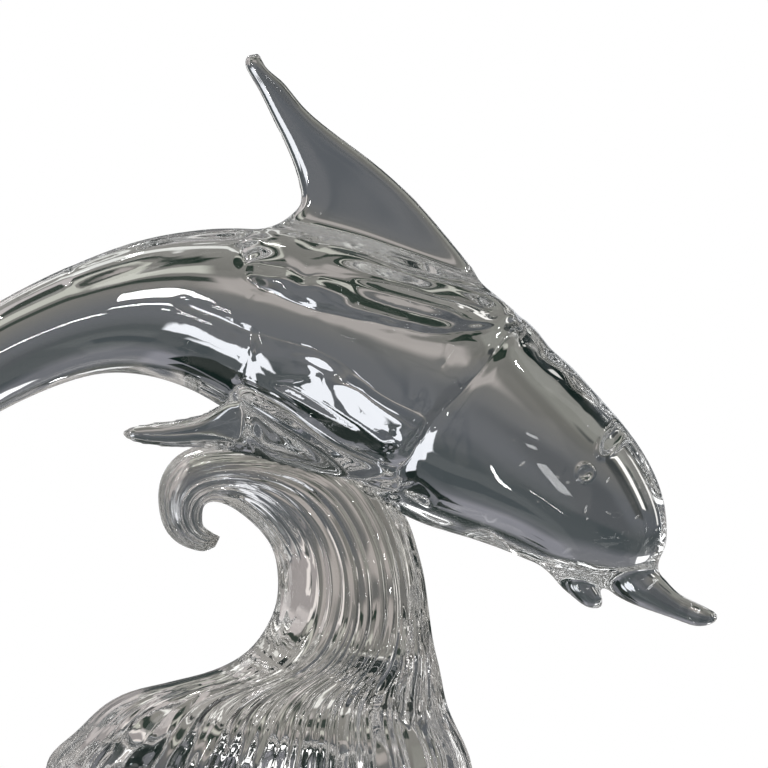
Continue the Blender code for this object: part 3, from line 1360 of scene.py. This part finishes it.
@dataclass(frozen=True)
class RibPlan:
    """How the ribs change from the front to the back and from the trunk to the foot.

    A direction runs from -1 to 1 and a spread from 0 on the trunk to 1 on the foot.

    Attributes:
        seed: picks one of many ways in which the ribs wander.
        drift: waves of the ribs' wandering, and their least and greatest height in ribs.
        strands: waves of the fine strands, and their least and greatest height.
        fibres: waves of the bundles that the strands lie in, and the same of them.
        crinkles: waves of the crinkles, and the same of them.
        strengths: how deep the shallowest and the deepest rib are, as shares.
        merging: ring widths, as shares of the trunk's, between which pairs of ribs merge.
        merged: how much shallower single ribs are where pairs have merged, and depth of the pairs.
        taper: how fast the ribs grow shallower with the ring's width.
        front: directions towards the viewer between which the ribs deepen to the front's.
        back: depth of the back's ribs on the trunk, and how much more on the foot, as shares.
        split: spreads between which each rib splits into three.
        split_strength: depth of a split, less the strength of its rib.
        split_side: directions towards the hollow side between which that ends.
        bundled: spreads between which the strands lie in bundles.
        bundle_edge: heights of the fibres' waves between which a bundle rises.
        strand_back: height of the strands on the back, as a share.
        strand_share: height of the strands without bundles.
        strand_foot: how much higher the bundles are on the foot.
        calm: directions between which the hollow side turns smooth.
        calm_foot: heights between which it turns from ribbed to smooth, in metres.
        calm_curl: heights between which it turns ribbed again.
        calm_share: how much of the ribs goes there.
        lobe: directions between which the foot turns into broad lobes.
        lobe_foot: spreads between which it does.
        lobe_share: how much of the ribs goes there.
        lobe_depth: depth between the lobes, as a share of the ribs' there.
        crinkled: shares of the wave's length between which the crinkles begin.
    """

    seed: int = 11
    drift: tuple[Rows, Span] = (((3, 0.6), (5, -0.9), (7, 1.2), (11, 0.7)), (0.04, 0.13))
    strands: tuple[Rows, Span] = (
        ((59, 1.6), (67, -2.1), (83, 2.4), (97, -1.7), (109, 1.2)),
        (0.2, 0.45),
    )
    fibres: tuple[Rows, Span] = (((2, 1.1), (3, -1.7), (5, 2.3)), (0.3, 0.6))
    crinkles: tuple[Rows, Span] = (((5, 2.0), (8, -3.0), (11, 2.5)), (0.3, 0.6))
    strengths: Span = (0.7, 1.25)
    merging: Span = (0.5, 0.95)
    merged: Span = (0.75, 1.1)
    taper: float = 0.35
    front: Span = (-0.5, 0.1)
    back: Span = (0.12, 0.35)
    split: Span = (0.0, 0.25)
    split_strength: float = 1.9
    split_side: Span = (0.1, 0.5)
    bundled: Span = (0.0, 0.12)
    bundle_edge: Span = (-0.5, 0.9)
    strand_back: float = 0.1
    strand_share: float = 0.25
    strand_foot: float = 1.2
    calm: Span = (0.25, 0.5)
    calm_foot: Span = (0.052, 0.070)
    calm_curl: Span = (0.112, 0.126)
    calm_share: float = 0.96
    lobe: Span = (0.35, 0.6)
    lobe_foot: Span = (0.3, 0.6)
    lobe_share: float = 0.85
    lobe_depth: float = 0.42
    crinkled: Span = (0.93, 0.985)


@dataclass
class Wave:
    """The ribbed wave that curls under the dolphin.

    Attributes:
        glass: its finish.
        plan: how its ribs change over it.
        ribs: how many ribs run along it.
        per_rib: points across a rib.
        per_span: rings between two stations.
        trunk_rib: depth of the grooves on the trunk, in metres.
        foot_rib: depth of the folds at the foot.
        split_rib: depth of the grooves that split each rib into three on the foot.
        strand: height of the fine strands between the grooves.
        crinkle: depth of the crinkles at the curl's tip.
        swell: how far hand tooling left the surface uneven.
        swell_length: how far apart the crests of that unevenness are.
        ground: height over which the surface turns level with the ground underside.
        sweep: how far the ribs sweep towards the hollow side on the foot, in radians.
        twist: how far the foot is twisted against the trunk, in radians.
        foot_depth: of the foot from front to back.
        joint_gap: left between the wave and the dolphin.
        trunk: number of the station where the wave is narrowest below the curl.
        widest: number of the station where the foot is widest.
        stations: rows of hollow side x and z, outer side x and z, and half depth.
    """

    glass: ClearGlass
    plan: RibPlan = RibPlan()
    ribs: int = 28
    per_rib: int = 28
    per_span: int = 5
    trunk_rib: float = 0.0030
    foot_rib: float = 0.0064
    split_rib: float = 0.0021
    strand: float = 0.00022
    crinkle: float = 0.0013
    swell: float = 0.0003
    swell_length: float = 0.030
    ground: float = 0.006
    sweep: float = 0.10
    twist: float = 0.03
    foot_depth: float = 0.150
    joint_gap: float = 0.0003
    trunk: int = 10
    widest: int = 2
    stations: Rows = (
        (-26.9, 0.0, 26.9, 0.0, 20.7),
        (-28.0, 1.8, 28.2, 1.8, 21.7),
        (-27.8, 4.2, 28.3, 4.4, 21.7),
        (-27.0, 8.2, 27.7, 8.5, 20.0),
        (-23.7, 11.5, 26.3, 11.6, 17.2),
        (-19.8, 15.1, 24.8, 15.0, 14.2),
        (-14.0, 17.4, 24.0, 18.3, 11.9),
        (-6.1, 19.4, 23.4, 21.3, 9.9),
        (-1.3, 22.0, 22.8, 24.3, 8.8),
        (1.7, 26.1, 22.3, 28.0, 8.1),
        (2.7, 30.0, 21.7, 32.0, 7.6),
        (2.4, 33.9, 20.7, 35.9, 7.2),
        (0.8, 37.0, 19.0, 40.4, 6.8),
        (-1.8, 39.7, 14.6, 46.0, 6.4),
        (-5.2, 41.5, 4.5, 49.1, 5.7),
        (-7.0, 40.8, -5.6, 49.2, 5.0),
        (-7.2, 39.8, -10.3, 47.7, 4.6),
        (-7.2, 39.0, -12.3, 45.0, 4.2),
        (-7.0, 38.3, -12.8, 41.7, 3.8),
        (-6.7, 38.0, -12.1, 38.5, 3.2),
        (-6.3, 37.7, -10.2, 36.1, 2.5),
        (-5.7, 37.3, -7.3, 35.2, 1.6),
        (-5.0, 36.7, -5.4, 35.9, 0.4),
    )

    def angles(self, spread: np.ndarray) -> np.ndarray:
        """Finds where the points lie around the wave, as the ribs turn with it on the foot.

        Args:
            spread: how far each ring has spread into the foot, from 0 to 1.

        Returns:
            An array of rings by points, in radians from the outer side over the back.
        """
        angle = np.arange(self.ribs * self.per_rib) * 2 * math.pi / (self.ribs * self.per_rib)
        turned = self.sweep * np.sin(angle) - self.twist
        return angle + smoothstep(spread, 0.0, 0.8)[:, None] * turned

    def plain_rings(self, rows: np.ndarray, spread: np.ndarray) -> np.ndarray:
        """Draws the smooth rings, whose points sweep towards the hollow side on the foot.

        Args:
            rows: drawn places and half depths of the rings.
            spread: how far each ring has spread into the foot, from 0 to 1.

        Returns:
            An array of rings by points by three.
        """
        inner, outer = in_plane(*rows[0:2]), in_plane(*rows[2:4])
        half_depth = rows[4] * self.foot_depth / (2 * max(row[4] for row in self.stations))
        angle = self.angles(spread)
        middle, half = (inner + outer) / 2, (outer - inner) / 2
        plain = middle[:, None] + half[:, None] * np.cos(angle)[..., None]
        plain[..., 1] += half_depth[:, None] * np.sin(angle)
        return plain

    def rib_cut(self, share: np.ndarray, spread: np.ndarray, level: np.ndarray) -> np.ndarray:
        """Finds how deep each point lies below the crests of the ribs.

        Args:
            share: each ring's width as a share of the trunk's, at most 1.
            spread: how far each ring has spread into the foot, from 0 to 1.
            level: height of each ring's hollow side, in metres.

        Returns:
            An array of rings by points, in metres.
        """
        plan = self.plan
        share, spread, level = share[:, None], spread[:, None], level[:, None]
        turn = np.arange(self.ribs * self.per_rib) / (self.ribs * self.per_rib)
        ring = np.linspace(0, 1, len(share))[:, None]
        wander = Wander(np.random.default_rng(plan.seed), turn, ring)
        place_on = turn * self.ribs + wander.change(plan.drift[0], *plan.drift[1])
        rib = np.floor(place_on + 0.5).astype(int) % self.ribs
        strength = wander.chance.uniform(*plan.strengths, self.ribs)[rib]
        strands = wander.change(plan.strands[0], *plan.strands[1])
        bundles = smoothstep(wander.change(plan.fibres[0], *plan.fibres[1]), *plan.bundle_edge)
        crinkles = wander.change(plan.crinkles[0], *plan.crinkles[1])

        angle = self.angles(spread[:, 0])
        inward = -np.cos(angle)
        front = smoothstep(-np.sin(angle), *plan.front)
        back = plan.back[0] + plan.back[1] * spread
        merged = 1 - smoothstep(share, *plan.merging)
        broad = furrows(place_on, 0.5)
        groove = (1 - plan.merged[0] * merged) * furrows(place_on)
        groove += plan.merged[1] * merged * broad
        depth = self.trunk_rib * share**plan.taper + (self.foot_rib - self.trunk_rib) * spread
        cut = depth * groove * strength * (back + (1 - back) * front)

        split = furrows(place_on, 3) * (plan.split_strength - strength)
        split *= smoothstep(spread, *plan.split) * (1 - smoothstep(inward, *plan.split_side))
        cut += self.split_rib * split * front
        bundles *= smoothstep(spread, *plan.bundled) * (1 + plan.strand_foot * spread)
        strands *= plan.strand_back + (1 - plan.strand_back) * front
        cut += self.strand * strands * (plan.strand_share + bundles)

        high = smoothstep(level, *plan.calm_foot) * (1 - smoothstep(level, *plan.calm_curl))
        calm = high * smoothstep(inward, *plan.calm)
        lobe = smoothstep(inward, *plan.lobe) * smoothstep(spread, *plan.lobe_foot)
        cut *= (1 - plan.calm_share * calm) * (1 - plan.lobe_share * lobe)
        cut += plan.lobe_depth * lobe * depth * broad
        return cut + self.crinkle * smoothstep(ring, *plan.crinkled) * crinkles

    def rings(self) -> np.ndarray:
        """Draws the ribbed rings from the underside to the curl's tip.

        Returns:
            An array of rings by points by three.
        """
        rows = curve_through(self.stations, self.per_span).T
        size = np.hypot(rows[2] - rows[0], rows[3] - rows[1]) / 2
        trunk, widest = (
            (self.stations[number][2] - self.stations[number][0]) / 2
            for number in (self.trunk, self.widest)
        )
        share = np.minimum(size / trunk, 1)
        spread = np.clip((size - trunk) / (widest - trunk), 0, 1)
        plain = self.plain_rings(rows, spread)
        cut = self.rib_cut(share, spread, rows[1] * HUNDREDTH)
        middle = plain.mean(axis=1, keepdims=True)
        reach = np.linalg.norm(plain - middle, axis=2)
        cut = np.minimum(cut, 0.35 * reach)
        return middle + (plain - middle) * (1 - cut / reach)[..., None]

    def build(self, dolphin: bpy.types.Object) -> bpy.types.Object:
        """Makes the wave and hollows its crest where the dolphin rests.

        Args:
            dolphin: the finished dolphin.

        Returns:
            The finished object.
        """
        piece = place(skin("glass_wave", self.rings()))
        surface = Surface(piece.data)
        swell = ripple(surface.points, seed=21, length=self.swell_length)
        lift = smoothstep(surface.points[:, 2], 0.0, self.ground) * self.swell
        surface.raise_by(swell * lift)
        Drip().press(surface)
        surface.store()
        grown = place(dolphin.data.copy())
        gap = grown.modifiers.new("joint gap", "DISPLACE")
        gap.strength = self.joint_gap
        gap.mid_level = 0.0
        seat = piece.modifiers.new("seat", "BOOLEAN")
        seat.object = grown
        seat.operation = "DIFFERENCE"
        seat.solver = "MANIFOLD"
        bake_modifiers(piece)
        bpy.data.meshes.remove(grown.data)
        piece.data.shade_smooth()
        piece.data.set_sharp_from_angle(angle=math.radians(50))
        self.glass.dress(piece, "wave")
        return piece


class MixSocket(Enum):
    """The sockets of a mix node that mixes colours, by number."""

    SHARE = 0
    FIRST = 6
    SECOND = 7
    RESULT = 2


def math_node(
    tree: bpy.types.NodeTree,
    operation: str,
    first: bpy.types.NodeSocket,
    second: bpy.types.NodeSocket | float | None = None,
) -> bpy.types.NodeSocket:
    """Adds a sum to a node tree.

    Args:
        tree: where the node goes.
        operation: what it does.
        first: its first input.
        second: its second input or number, if it has one.

    Returns:
        The result's socket.
    """
    node = tree.nodes.new("ShaderNodeMath")
    node.operation = operation
    tree.links.new(first, node.inputs[0])
    if isinstance(second, float):
        node.inputs[1].default_value = second
    elif second is not None:
        tree.links.new(second, node.inputs[1])
    return node.outputs[0]


def heading(bearing: float, elevation: float) -> Vector:
    """Points from the glass towards a bearing.

    Args:
        bearing: degrees from straight behind the glass, positive to the right.
        elevation: degrees above level.

    Returns:
        A direction of length 1.
    """
    turn, rise = math.radians(bearing), math.radians(elevation)
    return Vector(
        (math.sin(turn) * math.cos(rise), math.cos(turn) * math.cos(rise), math.sin(rise))
    )


@dataclass(frozen=True)
class Softbox:
    """A plain rectangular studio light.

    Attributes:
        name: the light's name.
        bearing: degrees from straight behind the glass, positive to the right.
        elevation: degrees above level.
        size: its width and height, in metres.
        brightness: of its face, where 1 shows as white.
        distance: from the glass.
        roll: how far it is turned in its own plane, in degrees.
    """

    name: str
    bearing: float
    elevation: float
    size: Span
    brightness: float
    distance: float = 1.2
    roll: float = 0.0

    def hang(self, aim: Vector) -> None:
        """Puts the light in the scene, turned to a point.

        Args:
            aim: what it points at.
        """
        data = bpy.data.lights.new(self.name, "AREA")
        data.shape = "RECTANGLE"
        data.size, data.size_y = self.size
        data.energy = self.brightness * math.pi * data.size * data.size_y
        light = bpy.data.objects.new(self.name, data)
        away = heading(self.bearing, self.elevation)
        turn = (-away).to_track_quat("-Z", "Y").to_matrix().to_4x4()
        turn = turn @ Matrix.Rotation(math.radians(self.roll), 4, "Z")
        light.matrix_world = Matrix.Translation(aim + self.distance * away) @ turn
        light.visible_camera = False
        bpy.context.scene.collection.objects.link(light)


@dataclass(frozen=True)
class Card:
    """A soft-edged card in the room around the glass, darker or lighter than the room.

    Attributes:
        bearing: of its middle, in degrees from straight behind the glass, positive to the right.
        elevation: of its middle, in degrees above level.
        half_width: in degrees.
        half_height: in degrees.
        softness: width of its edge, in degrees.
        tint: its colour.
    """

    bearing: float
    elevation: float
    half_width: float
    half_height: float
    softness: float
    tint: Colour

    def mask(
        self, tree: bpy.types.NodeTree, bearing: bpy.types.NodeSocket, rise: bpy.types.NodeSocket
    ) -> bpy.types.NodeSocket:
        """Finds where the card covers the room.

        Args:
            tree: the world's node tree.
            bearing: the looked-at direction's bearing, in radians.
            rise: the looked-at direction's elevation, in radians.

        Returns:
            A socket that is 1 on the card and 0 beyond its edge.
        """
        parts = []
        for source, middle, half in (
            (bearing, self.bearing, self.half_width),
            (rise, self.elevation, self.half_height),
        ):
            gap = math_node(tree, "SUBTRACT", source, math.radians(middle))
            gap = math_node(tree, "ABSOLUTE", gap)
            edge = tree.nodes.new("ShaderNodeMapRange")
            edge.interpolation_type = "SMOOTHSTEP"
            edge.inputs["From Min"].default_value = math.radians(half + self.softness / 2)
            edge.inputs["From Max"].default_value = math.radians(half - self.softness / 2)
            tree.links.new(gap, edge.inputs["Value"])
            parts.append(edge.outputs["Result"])
        return math_node(tree, "MULTIPLY", *parts)


@dataclass(frozen=True)
class PaleFloor:
    """A pale round floor that fades into the white backdrop.

    Attributes:
        tint: its colour.
        roughness: of its surface.
        glow: colour of the light that it gives off, which keeps it as white as the backdrop.
        glow_strength: how much of that light there is.
        radius: in metres.
        fade: distances from its middle between which it fades out, in metres.
        drop: how far it lies below the foot, a hair's breadth.
    """

    tint: Colour = (0.62, 0.61, 0.59)
    roughness: float = 0.6
    glow: Colour = (1.0, 0.99, 0.975)
    glow_strength: float = 0.62
    radius: float = 0.21
    fade: Span = (0.10, 0.20)
    drop: float = 0.0006

    def material(self) -> bpy.types.Material:
        """Makes the floor's finish, which only the camera sees fade.

        Returns:
            The material.
        """
        material = bpy.data.materials.new("pale floor")
        material.use_nodes = True
        tree = material.node_tree
        shader = tree.nodes["Principled BSDF"]
        shader.inputs["Base Color"].default_value = (*self.tint, 1.0)
        shader.inputs["Roughness"].default_value = self.roughness
        shader.inputs["Emission Color"].default_value = (*self.glow, 1.0)
        shader.inputs["Emission Strength"].default_value = self.glow_strength
        where = tree.nodes.new("ShaderNodeTexCoord")
        length = tree.nodes.new("ShaderNodeVectorMath")
        length.operation = "LENGTH"
        tree.links.new(where.outputs["Object"], length.inputs[0])
        fade = tree.nodes.new("ShaderNodeMapRange")
        fade.interpolation_type = "SMOOTHSTEP"
        fade.inputs["From Min"].default_value = self.fade[0]
        fade.inputs["From Max"].default_value = self.fade[1]
        fade.inputs["To Min"].default_value = 1.0
        fade.inputs["To Max"].default_value = 0.0
        tree.links.new(length.outputs["Value"], fade.inputs["Value"])
        rays = tree.nodes.new("ShaderNodeLightPath")
        camera_ray = rays.outputs["Is Camera Ray"]
        seen = math_node(tree, "MULTIPLY", fade.outputs["Result"], camera_ray)
        tree.links.new(seen, shader.inputs["Alpha"])
        return material

    def lay(self) -> None:
        """Lays the floor below the foot."""
        mesh = bpy.data.meshes.new("floor")
        shape = bmesh.new()
        bmesh.ops.create_circle(shape, cap_ends=True, segments=96, radius=self.radius)
        shape.to_mesh(mesh)
        shape.free()
        mesh.materials.append(self.material())
        floor = place(mesh)
        floor.location.z = -self.drop


DARK = (0.008, 0.016, 0.014)
DUSK = (0.020, 0.034, 0.025)
PALE = (0.55, 0.55, 0.49)


@dataclass
class Studio:
    """The plain studio: a white backdrop, grey surroundings, softboxes, a pale floor and a camera.

    Attributes:
        floor: what the sculpture stands on.
        camera_distance: from the dolphin's middle plane, in metres.
        sensor: width of the camera's sensor, in millimetres.
        view_width: how wide the picture is at that plane.
        view_middle: x and z of the picture's middle.
        lit_point: what the softboxes are turned to.
        bounces: how many glass surfaces light may pass.
        room: rows of height of a direction, from -1 to 1, and colour of the room there.
        cards: darker and lighter places in the room, where a later card covers an earlier one.
        lights: the softboxes.
    """

    floor: PaleFloor = PaleFloor()
    camera_distance: float = 1.6
    sensor: float = 36.0
    view_width: float = 0.3456
    view_middle: Span = (0.05715, 0.1962)
    lit_point: tuple[float, float, float] = (0.02, 0.0, 0.2)
    bounces: int = 24
    room: Rows = (
        (-1.0, 0.34, 0.33, 0.31),
        (-0.55, 0.24, 0.235, 0.215),
        (-0.2, 0.165, 0.162, 0.148),
        (-0.02, 0.106, 0.114, 0.124),
        (0.08, 0.102, 0.111, 0.124),
        (0.2, 0.064, 0.076, 0.081),
        (0.38, 0.068, 0.080, 0.086),
        (0.5, 0.160, 0.165, 0.182),
        (0.7, 0.180, 0.185, 0.200),
        (0.82, 0.03, 0.042, 0.040),
        (1.0, 0.02, 0.03, 0.028),
    )
    cards: tuple[Card, ...] = (
        Card(-27.0, -21.0, 9.0, 8.0, 4.0, (0.26, 0.26, 0.235)),
        Card(-9.0, 4.5, 6.0, 7.0, 4.0, (0.070, 0.078, 0.086)),
        Card(13.5, 38.0, 6.0, 9.0, 5.0, (0.27, 0.27, 0.30)),
        Card(-3.0, -12.5, 6.5, 3.4, 3.0, (0.40, 0.37, 0.35)),
        Card(38.0, -8.0, 26.0, 9.5, 3.0, (0.35, 0.325, 0.32)),
        Card(38.0, -27.0, 20.0, 10.0, 3.0, (0.56, 0.52, 0.51)),
        Card(14.5, -9.0, 1.8, 12.0, 1.5, (0.06, 0.07, 0.065)),
        Card(18.5, -9.0, 1.6, 12.0, 1.5, (0.85, 0.80, 0.77)),
        Card(-23.0, -6.0, 2.5, 8.0, 2.0, (0.05, 0.055, 0.055)),
        Card(-29.0, -9.0, 1.5, 6.5, 0.8, (1.2, 1.17, 1.12)),
        Card(-32.5, -9.0, 1.2, 6.0, 1.5, (0.04, 0.05, 0.045)),
        Card(-46.0, -9.0, 2.2, 13.0, 1.5, (1.1, 1.08, 1.04)),
        Card(-48.5, -45.0, 15.0, 21.0, 1.5, DARK),
        Card(-28.5, -48.0, 2.0, 12.0, 0.8, (1.2, 1.17, 1.12)),
        Card(-33.5, -48.0, 2.4, 12.0, 1.0, DUSK),
        Card(-39.5, -48.0, 2.4, 12.0, 1.0, (0.9, 0.88, 0.85)),
        Card(-60.0, -50.0, 14.0, 13.0, 2.0, DARK),
        Card(18.7, 27.5, 5.3, 6.5, 0.8, DARK),
        Card(22.0, 38.8, 4.5, 3.4, 0.8, DARK),
        Card(42.0, 54.0, 17.0, 9.5, 1.5, DARK),
        Card(60.0, 50.0, 4.5, 12.0, 2.0, DARK),
        Card(44.0, 66.0, 14.0, 3.0, 2.0, DARK),
        Card(7.5, -14.0, 4.5, 1.3, 1.0, DUSK),
        Card(9.0, -20.0, 6.0, 2.6, 1.5, PALE),
        Card(12.0, -29.0, 7.5, 3.6, 2.0, DUSK),
        Card(-9.0, -24.5, 5.0, 3.4, 1.0, DUSK),
        Card(-9.0, -30.5, 5.5, 1.6, 1.0, PALE),
        Card(-12.0, -36.5, 6.0, 3.0, 1.0, DUSK),
        Card(-115.0, -50.0, 24.0, 32.0, 4.0, DARK),
        Card(-28.0, -50.0, 14.0, 3.5, 2.0, DARK),
        Card(10.0, -42.0, 16.0, 2.5, 1.5, (0.9, 0.9, 0.86)),
        Card(0.0, -68.0, 26.0, 6.0, 3.0, DARK),
        Card(76.0, -58.0, 12.0, 14.0, 3.0, DARK),
        Card(110.0, -50.0, 12.0, 20.0, 3.0, (1.3, 1.3, 1.25)),
        Card(148.0, 0.0, 30.0, 30.0, 4.0, (0.56, 0.53, 0.51)),
        Card(-158.0, 5.0, 20.0, 30.0, 4.0, (0.56, 0.53, 0.51)),
        Card(150.0, -50.0, 10.0, 18.0, 4.0, DARK),
        Card(-165.0, -55.0, 10.0, 20.0, 4.0, (0.8, 0.8, 0.76)),
        Card(-160.0, -49.0, 9.0, 5.0, 1.5, DARK),
        Card(-130.0, -25.0, 18.0, 14.0, 5.0, DARK),
        Card(-92.0, -10.0, 10.0, 25.0, 4.0, DARK),
        Card(70.0, 0.0, 10.0, 40.0, 4.0, DARK),
        Card(-48.0, 50.0, 14.0, 9.0, 4.0, DARK),
        Card(120.0, 35.0, 18.0, 18.0, 6.0, DARK),
        Card(9.0, 8.8, 3.2, 4.2, 0.8, (0.95, 0.97, 1.02)),
        Card(12.6, 12.3, 3.4, 3.3, 0.8, (0.95, 0.97, 1.02)),
        Card(16.8, 15.0, 2.6, 5.8, 0.8, (0.95, 0.97, 1.02)),
        Card(46.0, 16.0, 8.0, 12.0, 2.0, (0.8, 0.8, 0.78)),
        Card(-28.0, 33.0, 9.0, 4.5, 2.0, (1.4, 1.4, 1.4)),
        Card(-72.0, 8.0, 10.0, 26.0, 2.0, (2.0, 2.0, 1.98)),
        Card(40.0, -56.0, 12.0, 7.0, 3.0, (1.3, 1.3, 1.25)),
        Card(-10.0, 72.0, 25.0, 8.0, 3.0, (1.4, 1.4, 1.4)),
        Card(95.0, 30.0, 10.0, 20.0, 3.0, (0.7, 0.7, 0.7)),
        Card(-120.0, 60.0, 16.0, 8.0, 3.0, (1.5, 1.5, 1.5)),
    )
    lights: tuple[Softbox, ...] = (
        Softbox("key window", -158.0, 19.0, (0.10, 0.26), 34.0, 1.3, 12.0),
        Softbox("strip window", -157.0, -2.0, (0.09, 0.035), 34.0, 1.3, -8.0),
        Softbox("far strip window", -160.0, 4.5, (0.08, 0.05), 34.0, 1.3),
        Softbox("low window", 178.4, -33.8, (0.012, 0.30), 34.0, 1.35, -13.0),
        Softbox("low strip", 171.5, -35.9, (0.008, 0.19), 34.0, 1.37, 35.0),
        Softbox("right lamp", 120.0, 35.0, (0.06, 0.06), 60.0),
        Softbox("left lamp", -100.0, 45.0, (0.05, 0.05), 60.0),
        Softbox("back lamp", -40.0, 55.0, (0.08, 0.05), 30.0),
        Softbox("high lamp", 20.0, 80.0, (0.10, 0.10), 20.0),
        Softbox("side lamp", 70.0, -8.0, (0.04, 0.12), 30.0),
    )

    def set_camera(self) -> None:
        """Sets up the camera at the photograph's level viewing angle."""
        data = bpy.data.cameras.new("camera")
        data.sensor_width = self.sensor
        data.lens = self.sensor * self.camera_distance / self.view_width
        camera = bpy.data.objects.new("camera", data)
        x, z = self.view_middle
        camera.location = (x, -self.camera_distance, z)
        camera.rotation_euler = (math.radians(90), 0, 0)
        bpy.context.scene.collection.objects.link(camera)
        bpy.context.scene.camera = camera

    def set_surroundings(self) -> None:
        """Shows the camera a white backdrop and the glass a dim grey room."""
        world = bpy.data.worlds.new("studio")
        world.use_nodes = True
        bpy.context.scene.world = world
        tree = world.node_tree
        nodes, links = tree.nodes, tree.links
        nodes.clear()
        where = nodes.new("ShaderNodeTexCoord")
        split = nodes.new("ShaderNodeSeparateXYZ")
        links.new(where.outputs["Generated"], split.inputs[0])
        height = nodes.new("ShaderNodeMapRange")
        height.inputs["From Min"].default_value = -1.0
        links.new(split.outputs["Z"], height.inputs["Value"])
        shades = nodes.new("ShaderNodeValToRGB")
        elements = shades.color_ramp.elements
        while len(elements) < len(self.room):
            elements.new(0.5)
        for element, (level, *color) in zip(elements, self.room):
            element.position = (level + 1) / 2
            element.color = (*color, 1.0)
        links.new(height.outputs["Result"], shades.inputs["Fac"])
        color = shades.outputs["Color"]
        bearing = math_node(tree, "ARCTAN2", split.outputs["X"], split.outputs["Y"])
        rise = math_node(tree, "ARCSINE", split.outputs["Z"])
        for card in self.cards:
            mix = nodes.new("ShaderNodeMix")
            mix.data_type = "RGBA"
            links.new(card.mask(tree, bearing, rise), mix.inputs[MixSocket.SHARE.value])
            links.new(color, mix.inputs[MixSocket.FIRST.value])
            mix.inputs[MixSocket.SECOND.value].default_value = (*card.tint, 1.0)
            color = mix.outputs[MixSocket.RESULT.value]
        room = nodes.new("ShaderNodeBackground")
        links.new(color, room.inputs["Color"])
        backdrop = nodes.new("ShaderNodeBackground")
        backdrop.inputs["Color"].default_value = (1.0, 1.0, 1.0, 1.0)
        rays = nodes.new("ShaderNodeLightPath")
        choose = nodes.new("ShaderNodeMixShader")
        links.new(rays.outputs["Is Camera Ray"], choose.inputs["Fac"])
        links.new(room.outputs[0], choose.inputs[1])
        links.new(backdrop.outputs[0], choose.inputs[2])
        output = nodes.new("ShaderNodeOutputWorld")
        links.new(choose.outputs[0], output.inputs["Surface"])

    def set_quality(self) -> None:
        """Lets light pass through enough glass surfaces, and keeps white white."""
        scene = bpy.context.scene
        scene.view_settings.view_transform = "Standard"
        cycles = scene.cycles
        cycles.max_bounces = self.bounces
        cycles.transmission_bounces = self.bounces
        cycles.glossy_bounces = self.bounces
        cycles.transparent_max_bounces = 16
        cycles.sample_clamp_indirect = 8.0
        cycles.use_denoising = True

    def build(self) -> None:
        """Sets the whole studio up."""
        self.set_camera()
        self.set_surroundings()
        self.floor.lay()
        self.set_quality()
        for light in self.lights:
            light.hang(aim=Vector(self.lit_point))


def main() -> None:
    """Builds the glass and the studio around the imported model."""
    logging.basicConfig(level=logging.INFO, format="%(name)s: %(message)s")
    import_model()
    Studio().build()
    log.info("studio ready")
    dolphin = Dolphin(ClearGlass("dolphin glass", "dolphin_glass", (0.96, 0.97, 0.975))).build()
    log.info("dolphin: %d faces", len(dolphin.data.polygons))
    wave = Wave(ClearGlass("wave glass", "wave_glass", (0.99, 0.98, 0.97))).build(dolphin)
    log.info("wave: %d faces", len(wave.data.polygons))


if __name__ == "__main__":
    main()
